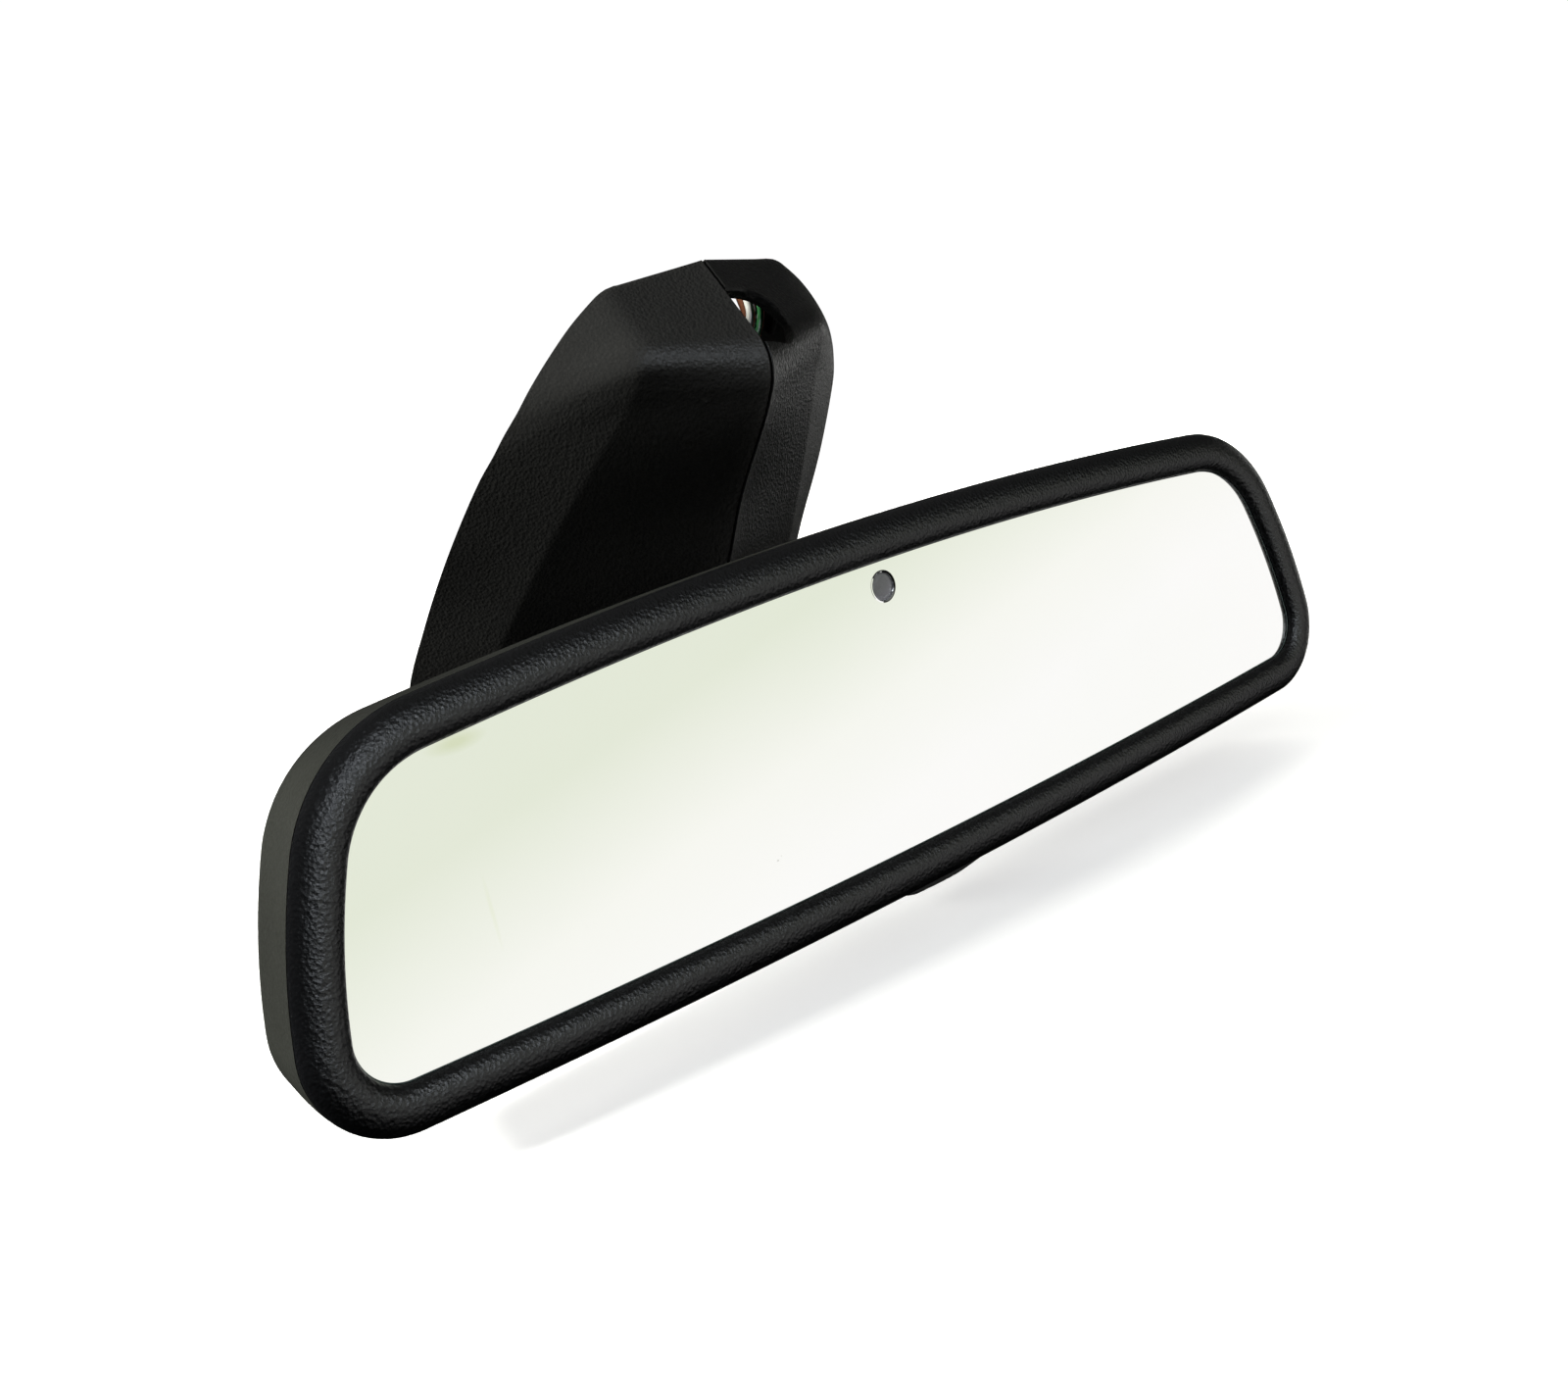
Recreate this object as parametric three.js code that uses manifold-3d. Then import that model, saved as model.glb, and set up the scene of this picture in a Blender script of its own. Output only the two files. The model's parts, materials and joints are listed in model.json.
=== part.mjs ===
// Interior rearview mirror: a mirror head on a ball joint, a die-cast windscreen foot and a split cover.
// Millimetres. While modelling, x runs across the glass, y away from the driver, z up; the glass is at y = 0.
// The last lines move the origin to the foot's flat face against the windscreen.
import * as THREE from 'three';
import { mergeVertices } from 'three/addons/utils/BufferGeometryUtils.js';
import Module from 'manifold-3d';

const wasm = await Module();
wasm.setup();

// ---- Driving dimensions ----
const GAP = 0.3; // air between pieces that would touch
const GLASS = {
  halfWidth: 110, halfHeight: 21.7, topCrown: 5.7, bottomCrown: 2.4,
  sideLean: -6.1, sideBulge: 2.5, topRadius: 19, bottomRadius: 7.7,
};
const LIP = { width: 7.8, crest: 2.45, parting: 1.0 }; // the bezel's half-round lip around the glass
const HOUSING = { wall: 1.8, sideDepth: 17.6, backDepth: 35.5 };
const CHIN = { halfWidth: 8, taper: 6, drop: 4.3 }; // the shallow bulge under the housing's middle
const RAKE = THREE.MathUtils.degToRad(50); // windscreen against the horizontal
const BALL = { radius: 10, centre: new THREE.Vector3(0, 21.5, 0) };
const NECK_RADIUS = 5.5;
const STEM_AXIS = new THREE.Vector3(0, 0.8443, 0.5359).normalize(); // from the ball to the foot
const STEM_LENGTH = 64.5; // from the ball's centre to the windscreen face
const FOOT = { radius: 19, thickness: 6, socketRadius: 12.5, socketDepth: 3.6 };
const COVER = { wall: 2, split: 0.3, stemHole: 9.5 };
const SENSOR_Z = 22.7; // height of the glare sensor's window above the glass's mid-level
const WIRE_RADIUS = 0.75;
const BUNDLE_RADIUS = 1.6; // from the bundle's middle to each wire's middle
const STEM_OPENING = { inner: 14.4, outer: 21, from: 2, to: 40 }; // the housing's flared hole, along the stem

const SCREEN_NORMAL = new THREE.Vector3(0, Math.sin(RAKE), Math.cos(RAKE)); // out through the windscreen
const SCREEN_UP = new THREE.Vector3(0, -Math.cos(RAKE), Math.sin(RAKE)); // up along the windscreen
const FOOT_CENTRE = alongStem(STEM_LENGTH);
const FLAT_RING_RADIUS = (FOOT.radius + FOOT.socketRadius) / 2;
const MOUNT_POINT = FOOT_CENTRE.clone().addScaledVector(SCREEN_UP, -FLAT_RING_RADIUS);

// Layers of the mirror cell and what stands behind it, as [front y, back y]
const LAYER = {
  frontGlass: [0.3, 2.1], cell: [2.4, 2.8], rearGlass: [3.1, 4.7], pad: [5.0, 5.6],
  carrier: [5.9, 7.4], pivot: [7.7, 9.7], board: [10.6, 12.2],
};

// ---- Materials ----
function paint(color, roughness, metalness = 0) {
  return new THREE.MeshStandardMaterial({ color, roughness, metalness });
}

const MATERIAL = {
  bezel: paint(0x2a2b2d, 0.5), housing: paint(0x252624, 0.6), cover: paint(0x1d1d1d, 0.65),
  glass: paint(0xdfeae0, 0.05), mirror: paint(0xe8efe6, 0.04, 0.9), gel: paint(0xb9cbb8, 0.1),
  seal: paint(0x3a3a38, 0.6), foam: paint(0x1b1b1b, 0.95), plastic: paint(0x161616, 0.7),
  board: paint(0x1f5a34, 0.5), chip: paint(0x151515, 0.4), can: paint(0x8f9498, 0.35, 0.8),
  lens: paint(0x6f6c80, 0.15), sensor: paint(0x3a3648, 0.2), diecast: paint(0x8b8d8f, 0.45, 0.9),
  steel: paint(0xa6a9ab, 0.3, 1), nylon: paint(0xd9d4c5, 0.5), connector: paint(0xe6e1d2, 0.5),
  red: paint(0x7a1d22, 0.45), green: paint(0x2f7a46, 0.45), white: paint(0xdcdcd6, 0.45),
  brown: paint(0x5a3a2a, 0.45), orange: paint(0xb4652c, 0.45), sleeve: paint(0x141414, 0.9),
};

// ---- Solids: three.js geometries in, manifold solids out ----
// The merged, closed shape of a geometry, with its faces turned outwards
function solid(geometry) {
  const bare = geometry.clone();
  bare.deleteAttribute('normal');
  bare.deleteAttribute('uv');
  const merged = mergeVertices(bare, 1e-4);
  const triangles = [];
  const index = merged.index.array;
  for (let i = 0; i < index.length; i += 3) {
    const [a, b, c] = [index[i], index[i + 1], index[i + 2]];
    if (a !== b && b !== c && c !== a) triangles.push(a, b, c);
  }
  if (signedVolume(merged.attributes.position.array, triangles) < 0) triangles.reverse();
  return new wasm.Manifold(new wasm.Mesh({
    numProp: 3,
    vertProperties: new Float32Array(merged.attributes.position.array),
    triVerts: new Uint32Array(triangles),
  }));
}

function geometryOf(body) {
  const mesh = body.getMesh();
  const geometry = new THREE.BufferGeometry();
  geometry.setAttribute('position', new THREE.BufferAttribute(mesh.vertProperties.slice(), 3));
  geometry.setIndex([...mesh.triVerts]);
  geometry.computeVertexNormals();
  return geometry;
}

const cut = (body, ...tools) => tools.reduce((rest, tool) => rest.subtract(tool), body);
const join = (...bodies) => bodies.reduce((whole, body) => whole.add(body));

function signedVolume(positions, index) {
  const [a, b, c] = [new THREE.Vector3(), new THREE.Vector3(), new THREE.Vector3()];
  let volume = 0;
  for (let i = 0; i < index.length; i += 3) {
    a.fromArray(positions, index[i] * 3);
    b.fromArray(positions, index[i + 1] * 3);
    c.fromArray(positions, index[i + 2] * 3);
    volume += a.dot(b.cross(c)) / 6;
  }
  return volume;
}

// A skin over rings of equally many points. An open row of rings gets end faces, a loop joins end to start.
function loft(rings, loop = false) {
  const count = rings[0].length;
  const positions = rings.flat().flatMap((p) => [p.x, p.y, p.z]);
  const index = [];
  const bands = loop ? rings.length : rings.length - 1;
  for (let r = 0; r < bands; r++) {
    const next = (r + 1) % rings.length;
    for (let i = 0; i < count; i++) {
      const j = (i + 1) % count;
      const [a, b, c, d] = [r * count + i, r * count + j, next * count + i, next * count + j];
      index.push(a, c, b, b, c, d);
    }
  }
  if (!loop) {
    for (const [r, turned] of [[0, false], [rings.length - 1, true]]) {
      const middle = rings[r].reduce((sum, p) => sum.add(p), new THREE.Vector3()).divideScalar(count);
      const centre = positions.length / 3;
      positions.push(middle.x, middle.y, middle.z);
      for (let i = 0; i < count; i++) {
        const [a, b] = [r * count + i, r * count + ((i + 1) % count)];
        index.push(...(turned ? [centre, b, a] : [centre, a, b]));
      }
    }
  }
  const geometry = new THREE.BufferGeometry();
  geometry.setAttribute('position', new THREE.Float32BufferAttribute(positions, 3));
  geometry.setIndex(index);
  return solid(geometry);
}

function box(x, y, z) {
  const geometry = new THREE.BoxGeometry(x[1] - x[0], y[1] - y[0], z[1] - z[0]);
  geometry.translate((x[0] + x[1]) / 2, (y[0] + y[1]) / 2, (z[0] + z[1]) / 2);
  return solid(geometry);
}

const Y_AXIS = new THREE.Vector3(0, 1, 0);

function turned(geometry, origin, axis) {
  geometry.applyQuaternion(new THREE.Quaternion().setFromUnitVectors(Y_AXIS, axis));
  geometry.translate(origin.x, origin.y, origin.z);
  return geometry;
}

// A round bar from one distance to another along an axis through origin
function bar(radius, from, to, origin, axis, segments = 24) {
  const geometry = new THREE.CylinderGeometry(radius, radius, to - from, segments);
  geometry.translate(0, (from + to) / 2, 0);
  return solid(turned(geometry, origin, axis));
}

const at = (x, y, z) => new THREE.Vector3(x, y, z);

function lathe(profile, segments = 20) {
  return new THREE.LatheGeometry(profile.map(([r, h]) => new THREE.Vector2(r, h)), segments);
}

// Points of an arc about a lathe's centre, by angle from the axis in degrees
function arc(radius, from, to, steps) {
  return Array.from({ length: steps + 1 }, (_, i) => {
    const angle = THREE.MathUtils.degToRad(from + ((to - from) * i) / steps);
    return [radius * Math.sin(angle), radius * Math.cos(angle)];
  });
}

// A flat plate standing across y, cut from an outline drawn in x and z
function plate(shape, [front, back], curveSegments = 2) {
  const settings = { depth: back - front, bevelEnabled: false, curveSegments };
  const geometry = new THREE.ExtrudeGeometry(shape, settings);
  geometry.rotateX(Math.PI / 2);
  geometry.translate(0, back, 0);
  return solid(geometry);
}

function roundedRect(x, z, radius) {
  const shape = new THREE.Shape();
  const corners = [[x[1] - radius, z[1] - radius, 0], [x[0] + radius, z[1] - radius, 1],
    [x[0] + radius, z[0] + radius, 2], [x[1] - radius, z[0] + radius, 3]];
  for (const [cx, cz, quarter] of corners) {
    shape.absarc(cx, cz, radius, (quarter * Math.PI) / 2, ((quarter + 1) * Math.PI) / 2, false);
  }
  shape.closePath();
  return shape;
}

function alongStem(distance) {
  return BALL.centre.clone().addScaledVector(STEM_AXIS, distance);
}

// ---- The glass opening's outline, and rings offset from it ----
const OUTLINE = glassOutline();

function glassOutline() {
  const g = GLASS;
  const top = (x) => g.halfHeight + g.topCrown * (1 - (x / g.halfWidth) ** 2);
  const bottom = (x) => -g.halfHeight - g.bottomCrown * (1 - (x / g.halfWidth) ** 2);
  const side = (z) =>
    g.halfWidth + (g.sideLean * z) / g.halfHeight + g.sideBulge * (1 - (z / g.halfHeight) ** 2);
  const slope = (f, v) => (f(v + 0.01) - f(v - 0.01)) / 0.02;
  const corner = (radius, edge, sign) => {
    let [edgeAngle, sideAngle] = [(sign * Math.PI) / 2, 0];
    let [x, z] = [g.halfWidth - radius, sign * (g.halfHeight - radius)];
    for (let round = 0; round < 40; round++) {
      edgeAngle = Math.atan2(sign, -sign * slope(edge, x + radius * Math.cos(edgeAngle)));
      sideAngle = Math.atan2(-slope(side, z + radius * Math.sin(sideAngle)), 1);
      z = edge(x + radius * Math.cos(edgeAngle)) - radius * Math.sin(edgeAngle);
      x = side(z + radius * Math.sin(sideAngle)) - radius * Math.cos(sideAngle);
    }
    return { x, z, radius, edgeAngle, sideAngle };
  };
  const upper = corner(g.topRadius, top, 1);
  const lower = corner(g.bottomRadius, bottom, -1);
  const onArc = (c, angle) => [c.x + c.radius * Math.cos(angle), c.z + c.radius * Math.sin(angle)];
  const steps = (count, from, to, f) =>
    Array.from({ length: count }, (_, i) => f(from + ((to - from) * i) / count));
  const half = [
    ...steps(7, 0, onArc(upper, upper.edgeAngle)[0], (x) => [x, top(x)]),
    ...steps(5, upper.edgeAngle, upper.sideAngle, (angle) => onArc(upper, angle)),
    ...steps(2, onArc(upper, upper.sideAngle)[1], onArc(lower, lower.sideAngle)[1], (z) => [side(z), z]),
    ...steps(4, lower.sideAngle, lower.edgeAngle, (angle) => onArc(lower, angle)),
    ...steps(9, onArc(lower, lower.edgeAngle)[0], 0, (x) => [x, bottom(x)]),
    [0, bottom(0)],
  ];
  const mirrored = half.slice(1, -1).reverse().map(([x, z]) => [-x, z]);
  const points = [...half, ...mirrored];
  return points.map(([x, z], i) => {
    const before = points.at(i - 1);
    const after = points[(i + 1) % points.length];
    const length = Math.hypot(after[0] - before[0], after[1] - before[1]);
    return { x, z, nx: -(after[1] - before[1]) / length, nz: (after[0] - before[0]) / length };
  });
}

function chinDrop(x) {
  return CHIN.drop * THREE.MathUtils.smoothstep(CHIN.halfWidth - Math.abs(x), -CHIN.taper, CHIN.taper);
}

function headRing({ y, offset, sx = 1, sz = 1, chin = 0 }) {
  return OUTLINE.map((p) => {
    const x = (p.x + p.nx * offset) * sx;
    const drop = p.nz < -0.5 ? chin * chinDrop(x) : 0;
    return at(x, y, (p.z + p.nz * offset) * sz - drop);
  });
}

function headPlate(offset, [front, back]) {
  return loft([headRing({ y: front, offset }), headRing({ y: back, offset })]);
}

// ---- Mirror head ----
function frontBezel() {
  const flange = { outer: 5.0, inner: 4.0, depth: 6.0 };
  const lip = Array.from({ length: 8 }, (_, i) => {
    const angle = (Math.PI * i) / 7;
    const across = (1 - Math.cos(angle)) / 2;
    return [LIP.width * across, LIP.parting * across ** 2 - LIP.crest * Math.sin(angle)];
  });
  const section = [...lip, [flange.outer, LIP.parting], [flange.outer, flange.depth],
    [flange.inner, flange.depth], [flange.inner, 0]];
  return loft(section.map(([offset, y]) => headRing({ y, offset })), true);
}

const HOUSING_SECTIONS = [
  { y: LIP.parting + GAP, offset: LIP.width },
  { y: 4, offset: 7.6, chin: 0.55 },
  { y: 8, offset: 7.1, chin: 1 },
  { y: 13, offset: 6.3, chin: 0.9 },
  { y: HOUSING.sideDepth, offset: 5.4, chin: 0.5 },
  { y: 19.8, offset: 4.0, chin: 0.3 },
  { y: 21.6, offset: 0.2, chin: 0.1 },
  { y: 22.8, offset: -5, sx: 0.93, sz: 0.98 },
  { y: 24.4, offset: -5, sx: 0.73, sz: 0.96 },
  { y: 28.4, offset: -5, sx: 0.52, sz: 0.93 },
  { y: 32.6, offset: -5, sx: 0.4, sz: 0.88 },
  { y: 34.7, offset: -5, sx: 0.345, sz: 0.81 },
  { y: HOUSING.backDepth, offset: -5, sx: 0.3, sz: 0.7 },
];
const AMBIENT = { x: 84, z: 6, radius: 3 };

function rearHousing() {
  const outer = loft(HOUSING_SECTIONS.map(headRing));
  const inside = HOUSING_SECTIONS.map((s, i) => headRing({
    ...s,
    offset: s.offset - HOUSING.wall,
    y: i === 0 ? 0 : s.y - HOUSING.wall * THREE.MathUtils.smoothstep(s.y, 15, 22),
  }));
  const { inner, outer: mouth, from, to } = STEM_OPENING;
  const flare = lathe([[0, from], [inner, from], [mouth, to], [0, to]], 28);
  const stemHole = solid(turned(flare, BALL.centre, STEM_AXIS));
  const lensHole = bar(AMBIENT.radius + GAP, 0, 20, at(AMBIENT.x, 15, AMBIENT.z), Y_AXIS, 16);
  return cut(outer, loft(inside), stemHole, lensHole);
}

const CELL_OVERLAP = 1.6; // how far the glass reaches behind the bezel's lip
const SEAL_WIDTH = 3;

function cellSeal() {
  const tool = headPlate(CELL_OVERLAP - SEAL_WIDTH, [LAYER.cell[0] - 1, LAYER.cell[1] + 1]);
  return cut(headPlate(CELL_OVERLAP - 0.4, LAYER.cell), tool);
}

// A contact strip along the glass's upper (sign 1) or lower (sign -1) edge
function busClip(sign) {
  const reach = 70;
  const strip = { inner: CELL_OVERLAP + GAP, outer: CELL_OVERLAP + GAP + 0.5, front: 0.8, back: 5.2 };
  const edge = OUTLINE
    .filter((p) => Math.sign(p.nz) === sign && Math.abs(p.nz) > 0.9 && Math.abs(p.x) < reach)
    .sort((p, q) => p.x - q.x);
  const corner = (p, offset, y) => at(p.x + p.nx * offset, y, p.z + p.nz * offset);
  return loft(edge.map((p) => [
    corner(p, strip.inner, strip.front), corner(p, strip.outer, strip.front),
    corner(p, strip.outer, strip.back), corner(p, strip.inner, strip.back),
  ]));
}

const sensorHole = (radius) => bar(radius, -1, 12, at(0, 0, SENSOR_Z), Y_AXIS, 20);
const PIVOT_SCREWS = [[-29, 13], [29, 13], [-29, -15], [29, -15]];
const BOARD_SCREWS = [[-22, 22.5], [86, -12]];
const SCREW = { hole: 1.4, shank: 1.1, head: 2.1, headHeight: 1.4 };
const screwHole = ([x, z], from, to, radius = SCREW.hole) => bar(radius, from, to, at(x, 0, z), Y_AXIS, 12);

function adhesivePad() {
  return cut(headPlate(-4, LAYER.pad), sensorHole(4));
}

function carrierPlate() {
  const bosses = BOARD_SCREWS.map((spot) => screwHole(spot, LAYER.carrier[1] - 0.5, LAYER.board[0] - GAP, 3));
  const holes = [...PIVOT_SCREWS, ...BOARD_SCREWS].map((spot) => screwHole(spot, 5, 12));
  return cut(join(headPlate(3.4, LAYER.carrier), ...bosses), sensorHole(3.4), ...holes);
}

const SEAT = { inner: BALL.radius + 0.2, outer: BALL.radius + 1.3 };
const CUP_RADIUS = SEAT.outer + GAP;
const RIM_HEIGHT = 0.3; // the pivot block's face beyond the ball's centre, along the stem
const PEDESTAL = { top: 16.2, base: 17.5, baseDrop: -3 };
const RETAINER_SCREW_RADIUS = 14.6;
const RETAINER_TURNS = [0, 120, 240];

// Where a retainer screw stands in the socket's own frame, whose y axis is the stem's
function retainerSpot(degrees) {
  const angle = THREE.MathUtils.degToRad(degrees);
  return at(RETAINER_SCREW_RADIUS * Math.sin(angle), 0, -RETAINER_SCREW_RADIUS * Math.cos(angle));
}

const socketTurn = new THREE.Quaternion().setFromUnitVectors(Y_AXIS, STEM_AXIS);
const fromSocket = (point) => point.clone().applyQuaternion(socketTurn).add(BALL.centre);

function pivotPlate() {
  const circle = (radius, place) => Array.from({ length: 24 }, (_, i) => {
    const angle = (Math.PI * 2 * i) / 24;
    return place(radius * Math.cos(angle), radius * Math.sin(angle));
  });
  const face = circle(PEDESTAL.top, (u, v) => fromSocket(at(u, RIM_HEIGHT, v)));
  const foot = circle(PEDESTAL.base, (u, v) => at(u, LAYER.pivot[0] + 0.5, PEDESTAL.baseDrop + v));
  const base = plate(roundedRect([-34, 34], [-19.5, 17], 4), LAYER.pivot, 4);
  const cup = solid(new THREE.SphereGeometry(CUP_RADIUS, 24, 12).translate(...BALL.centre.toArray()));
  const wireSlot = box([-4.5, 4.5], [10.2, 17], [-24, -5]);
  const mouth = bar(7, -13, 0, BALL.centre, STEM_AXIS);
  const screwHoles = PIVOT_SCREWS.map((spot) => screwHole(spot, 5, 12));
  const retainerHoles = RETAINER_TURNS.map((turn) =>
    bar(1.2, -5, 2, fromSocket(retainerSpot(turn)), STEM_AXIS, 10));
  const front = box([-40, 40], [0, LAYER.pivot[0]], [-40, 40]);
  return cut(join(base, loft([foot, face])), cup, wireSlot, mouth, ...screwHoles, ...retainerHoles, front);
}

// Socket pieces are turned about the socket's own y axis, with the ball's centre at the origin
function seatRing(from, to) {
  const profile = [...arc(SEAT.outer, from, to, 3), ...arc(SEAT.inner, to, from, 3)];
  return solid(lathe([...profile, profile[0]]));
}

function socketRetainer() {
  const wall = 1.2;
  const flange = { from: RIM_HEIGHT + GAP, to: RIM_HEIGHT + GAP + 1.4 };
  const dome = arc(CUP_RADIUS + wall, 84, 64, 3);
  const rim = [[PEDESTAL.top, flange.from], [PEDESTAL.top, flange.to]];
  const profile = [...arc(CUP_RADIUS, 64, 87, 3), ...rim, ...dome];
  const holes = RETAINER_TURNS.map((turn) => bar(1.2, -2, 4, retainerSpot(turn), Y_AXIS, 10));
  return cut(solid(lathe([...profile, profile[0]])), ...holes);
}

// A screw along +y, its head's underside at the origin
function screw(shank, length, head) {
  const profile = [[0, -length], [shank, -length + 0.6], [shank, 0], [head, 0],
    [head, SCREW.headHeight * 0.6], [head * 0.6, SCREW.headHeight], [0, SCREW.headHeight * 0.4]];
  return solid(lathe(profile, 8));
}

function circuitBoard() {
  const strip = plate(roundedRect([-28, 45], [18.6, 26.6], 1.5), LAYER.board);
  const wing = plate(roundedRect([38, 92], [-17, 20.5], 2), LAYER.board);
  const holes = BOARD_SCREWS.map((spot) => screwHole(spot, 5, 14));
  return cut(join(strip, wing), ...holes);
}

const ON_BOARD = LAYER.board[1] + GAP;

function chip(x, z, width, height, thickness) {
  const body = plate(roundedRect([x - width / 2, x + width / 2], [z - height / 2, z + height / 2], 0.6),
    [ON_BOARD, ON_BOARD + thickness]);
  const pinOne = at(x - width / 2 + 1.6, ON_BOARD, z + height / 2 - 1.6);
  const dot = bar(0.6, thickness - 0.3, thickness + 1, pinOne, Y_AXIS, 8);
  return cut(body, dot);
}

function capacitor() {
  const [radius, height, rim] = [3.2, 6.4, 0.5];
  const profile = [[0, 0], [radius, 0], [radius, 1], [radius - 0.3, 1.4], [radius, 1.8],
    [radius, height - rim], [radius - rim, height], [radius - 1, height], [radius - 1.2, height - 0.3],
    [0, height - 0.3]];
  return solid(lathe(profile, 20));
}

const HEADER = { x: [41, 50], y: [ON_BOARD, ON_BOARD + 5.4], z: [-14, -3] };

function boardHeader() {
  const { x, y, z } = HEADER;
  return cut(box(x, y, z), box([x[0] - 1, x[1] - 2], [y[0] + 1, y[1] - 1], [z[0] + 1, z[1] - 1]));
}

function harnessPlug() {
  const { x, y, z } = HEADER;
  const inset = 1 + GAP;
  const nose = box([x[0] - 1, x[1] - 3], [y[0] + inset, y[1] - inset], [z[0] + inset, z[1] - inset]);
  const body = box([x[0] - 6, x[0] - GAP], y, z);
  const latch = box([x[0] - 4, x[0] - 1], [y[1] - 0.1, y[1] + 0.8], [z[0] + 4, z[1] - 4]);
  return join(nose, body, latch);
}

function glareLightPipe() {
  const [front, back] = [LAYER.pad[0], LAYER.carrier[1] + 0.9];
  const profile = [[0, front], [2.6, front], [2.9, front + 0.3], [2.9, back - 0.4], [2.5, back], [0, back]];
  return solid(lathe(profile, 20));
}

function glareSensor() {
  const [front, back] = [LAYER.board[0] - GAP - 1.2, LAYER.board[0] - GAP];
  const body = box([-2.4, 2.4], [front, back], [SENSOR_Z - 2, SENSOR_Z + 2]);
  const well = bar(1.2, -0.6, 0.6, at(0, front, SENSOR_Z), Y_AXIS, 12);
  return cut(body, well);
}

function ambientSensor() {
  const { x, z } = AMBIENT;
  const body = box([x - 2.4, x + 2.4], [ON_BOARD, ON_BOARD + 1.4], [z - 2, z + 2]);
  return cut(body, bar(1.2, 0.9, 3, at(x, ON_BOARD, z), Y_AXIS, 12));
}

function ambientLens() {
  const r = AMBIENT.radius;
  const [front, back] = [ON_BOARD + 1.4 + GAP, 24.2];
  const profile = [[0, front], [r - 0.8, front], [r - 0.8, 19], [r, 19.4], [r, back - 0.8], [r * 0.6, back],
    [0, back + 0.2]];
  return solid(lathe(profile, 16));
}

// ---- Wires ----
const WIRE_COLOURS = ['red', 'green', 'white', 'brown', 'orange'];

function circleShape(radius, sides) {
  return new THREE.Shape(Array.from({ length: sides }, (_, i) => {
    const angle = (Math.PI * 2 * i) / sides;
    return new THREE.Vector2(radius * Math.cos(angle), radius * Math.sin(angle));
  }));
}

function tube(points, radius, sides, steps) {
  const path = new THREE.CatmullRomCurve3(points);
  const settings = { steps, extrudePath: path, curveSegments: 1 };
  return solid(new THREE.ExtrudeGeometry(circleShape(radius, sides), settings));
}

// One wire of a bundle: the bundle's route, moved sideways by the wire's place around it
function strand(route, place, steps) {
  const frames = route.computeFrenetFrames(steps, false);
  const turn = (Math.PI * 2 * place) / WIRE_COLOURS.length;
  const points = Array.from({ length: steps + 1 }, (_, i) => route.getPointAt(i / steps)
    .addScaledVector(frames.normals[i], BUNDLE_RADIUS * Math.cos(turn))
    .addScaledVector(frames.binormals[i], BUNDLE_RADIUS * Math.sin(turn)));
  return tube(points, WIRE_RADIUS, 6, steps);
}

const COVER_ROUTE = new THREE.CatmullRomCurve3([
  at(10.6, 32.0, 79.0), at(10.4, 31.2, 75.0), at(8.3, 32.2, 70.0), at(3.0, 38.0, 59.5), at(0, 47.5, 46.5),
  at(0, 54.5, 36.5), at(0, 57.2, 30.0), at(0, 57.2, 25.2), at(0, 55.2, 21.6), at(0, 51.0, 18.7),
  at(0, 46.0, 15.6), at(0, 34.0, 7.94), at(0, 23.6, 1.33),
]);
const HEAD_ROUTE = new THREE.CatmullRomCurve3([
  at(0, 20.5, -0.64), at(0, 16.5, -3.2), at(0, 13.7, -6.2), at(0, 13.0, -10.5), at(0, 13.4, -15.5),
  at(1.5, 14.2, -20.5), at(7, 15.0, -23.5), at(15, 15.4, -22), at(23, 15.3, -15.5), at(29, 15.2, -10),
  at(34.4, 15.2, -8.5),
]);

const SLEEVE = { from: 0.16, to: 0.42, outer: 3.3, inner: 2.7 }; // from and to are shares of the route

function harnessSleeve() {
  const share = (i) => SLEEVE.from + ((SLEEVE.to - SLEEVE.from) * i) / 12;
  const points = Array.from({ length: 13 }, (_, i) => COVER_ROUTE.getPointAt(share(i)));
  const ends = [points[0].clone().lerp(points[1], -0.3), points.at(-1).clone().lerp(points.at(-2), -0.3)];
  return cut(tube(points, SLEEVE.outer, 8, 8), tube([ends[0], ...points, ends[1]], SLEEVE.inner, 8, 8));
}

function cableTie() {
  const [from, to] = [COVER_ROUTE.getPointAt(0.29), COVER_ROUTE.getPointAt(0.31)];
  const axis = to.clone().sub(from).normalize();
  const head = box([-2, 2], [-1.3, 1.3], [4.2, 6.8]);
  const band = cut(bar(4.6, -1.2, 1.2, at(0, 0, 0), Y_AXIS, 20), bar(3.7, -3, 3, at(0, 0, 0), Y_AXIS, 20));
  return solid(turned(geometryOf(join(band, head)), from, axis));
}

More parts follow.
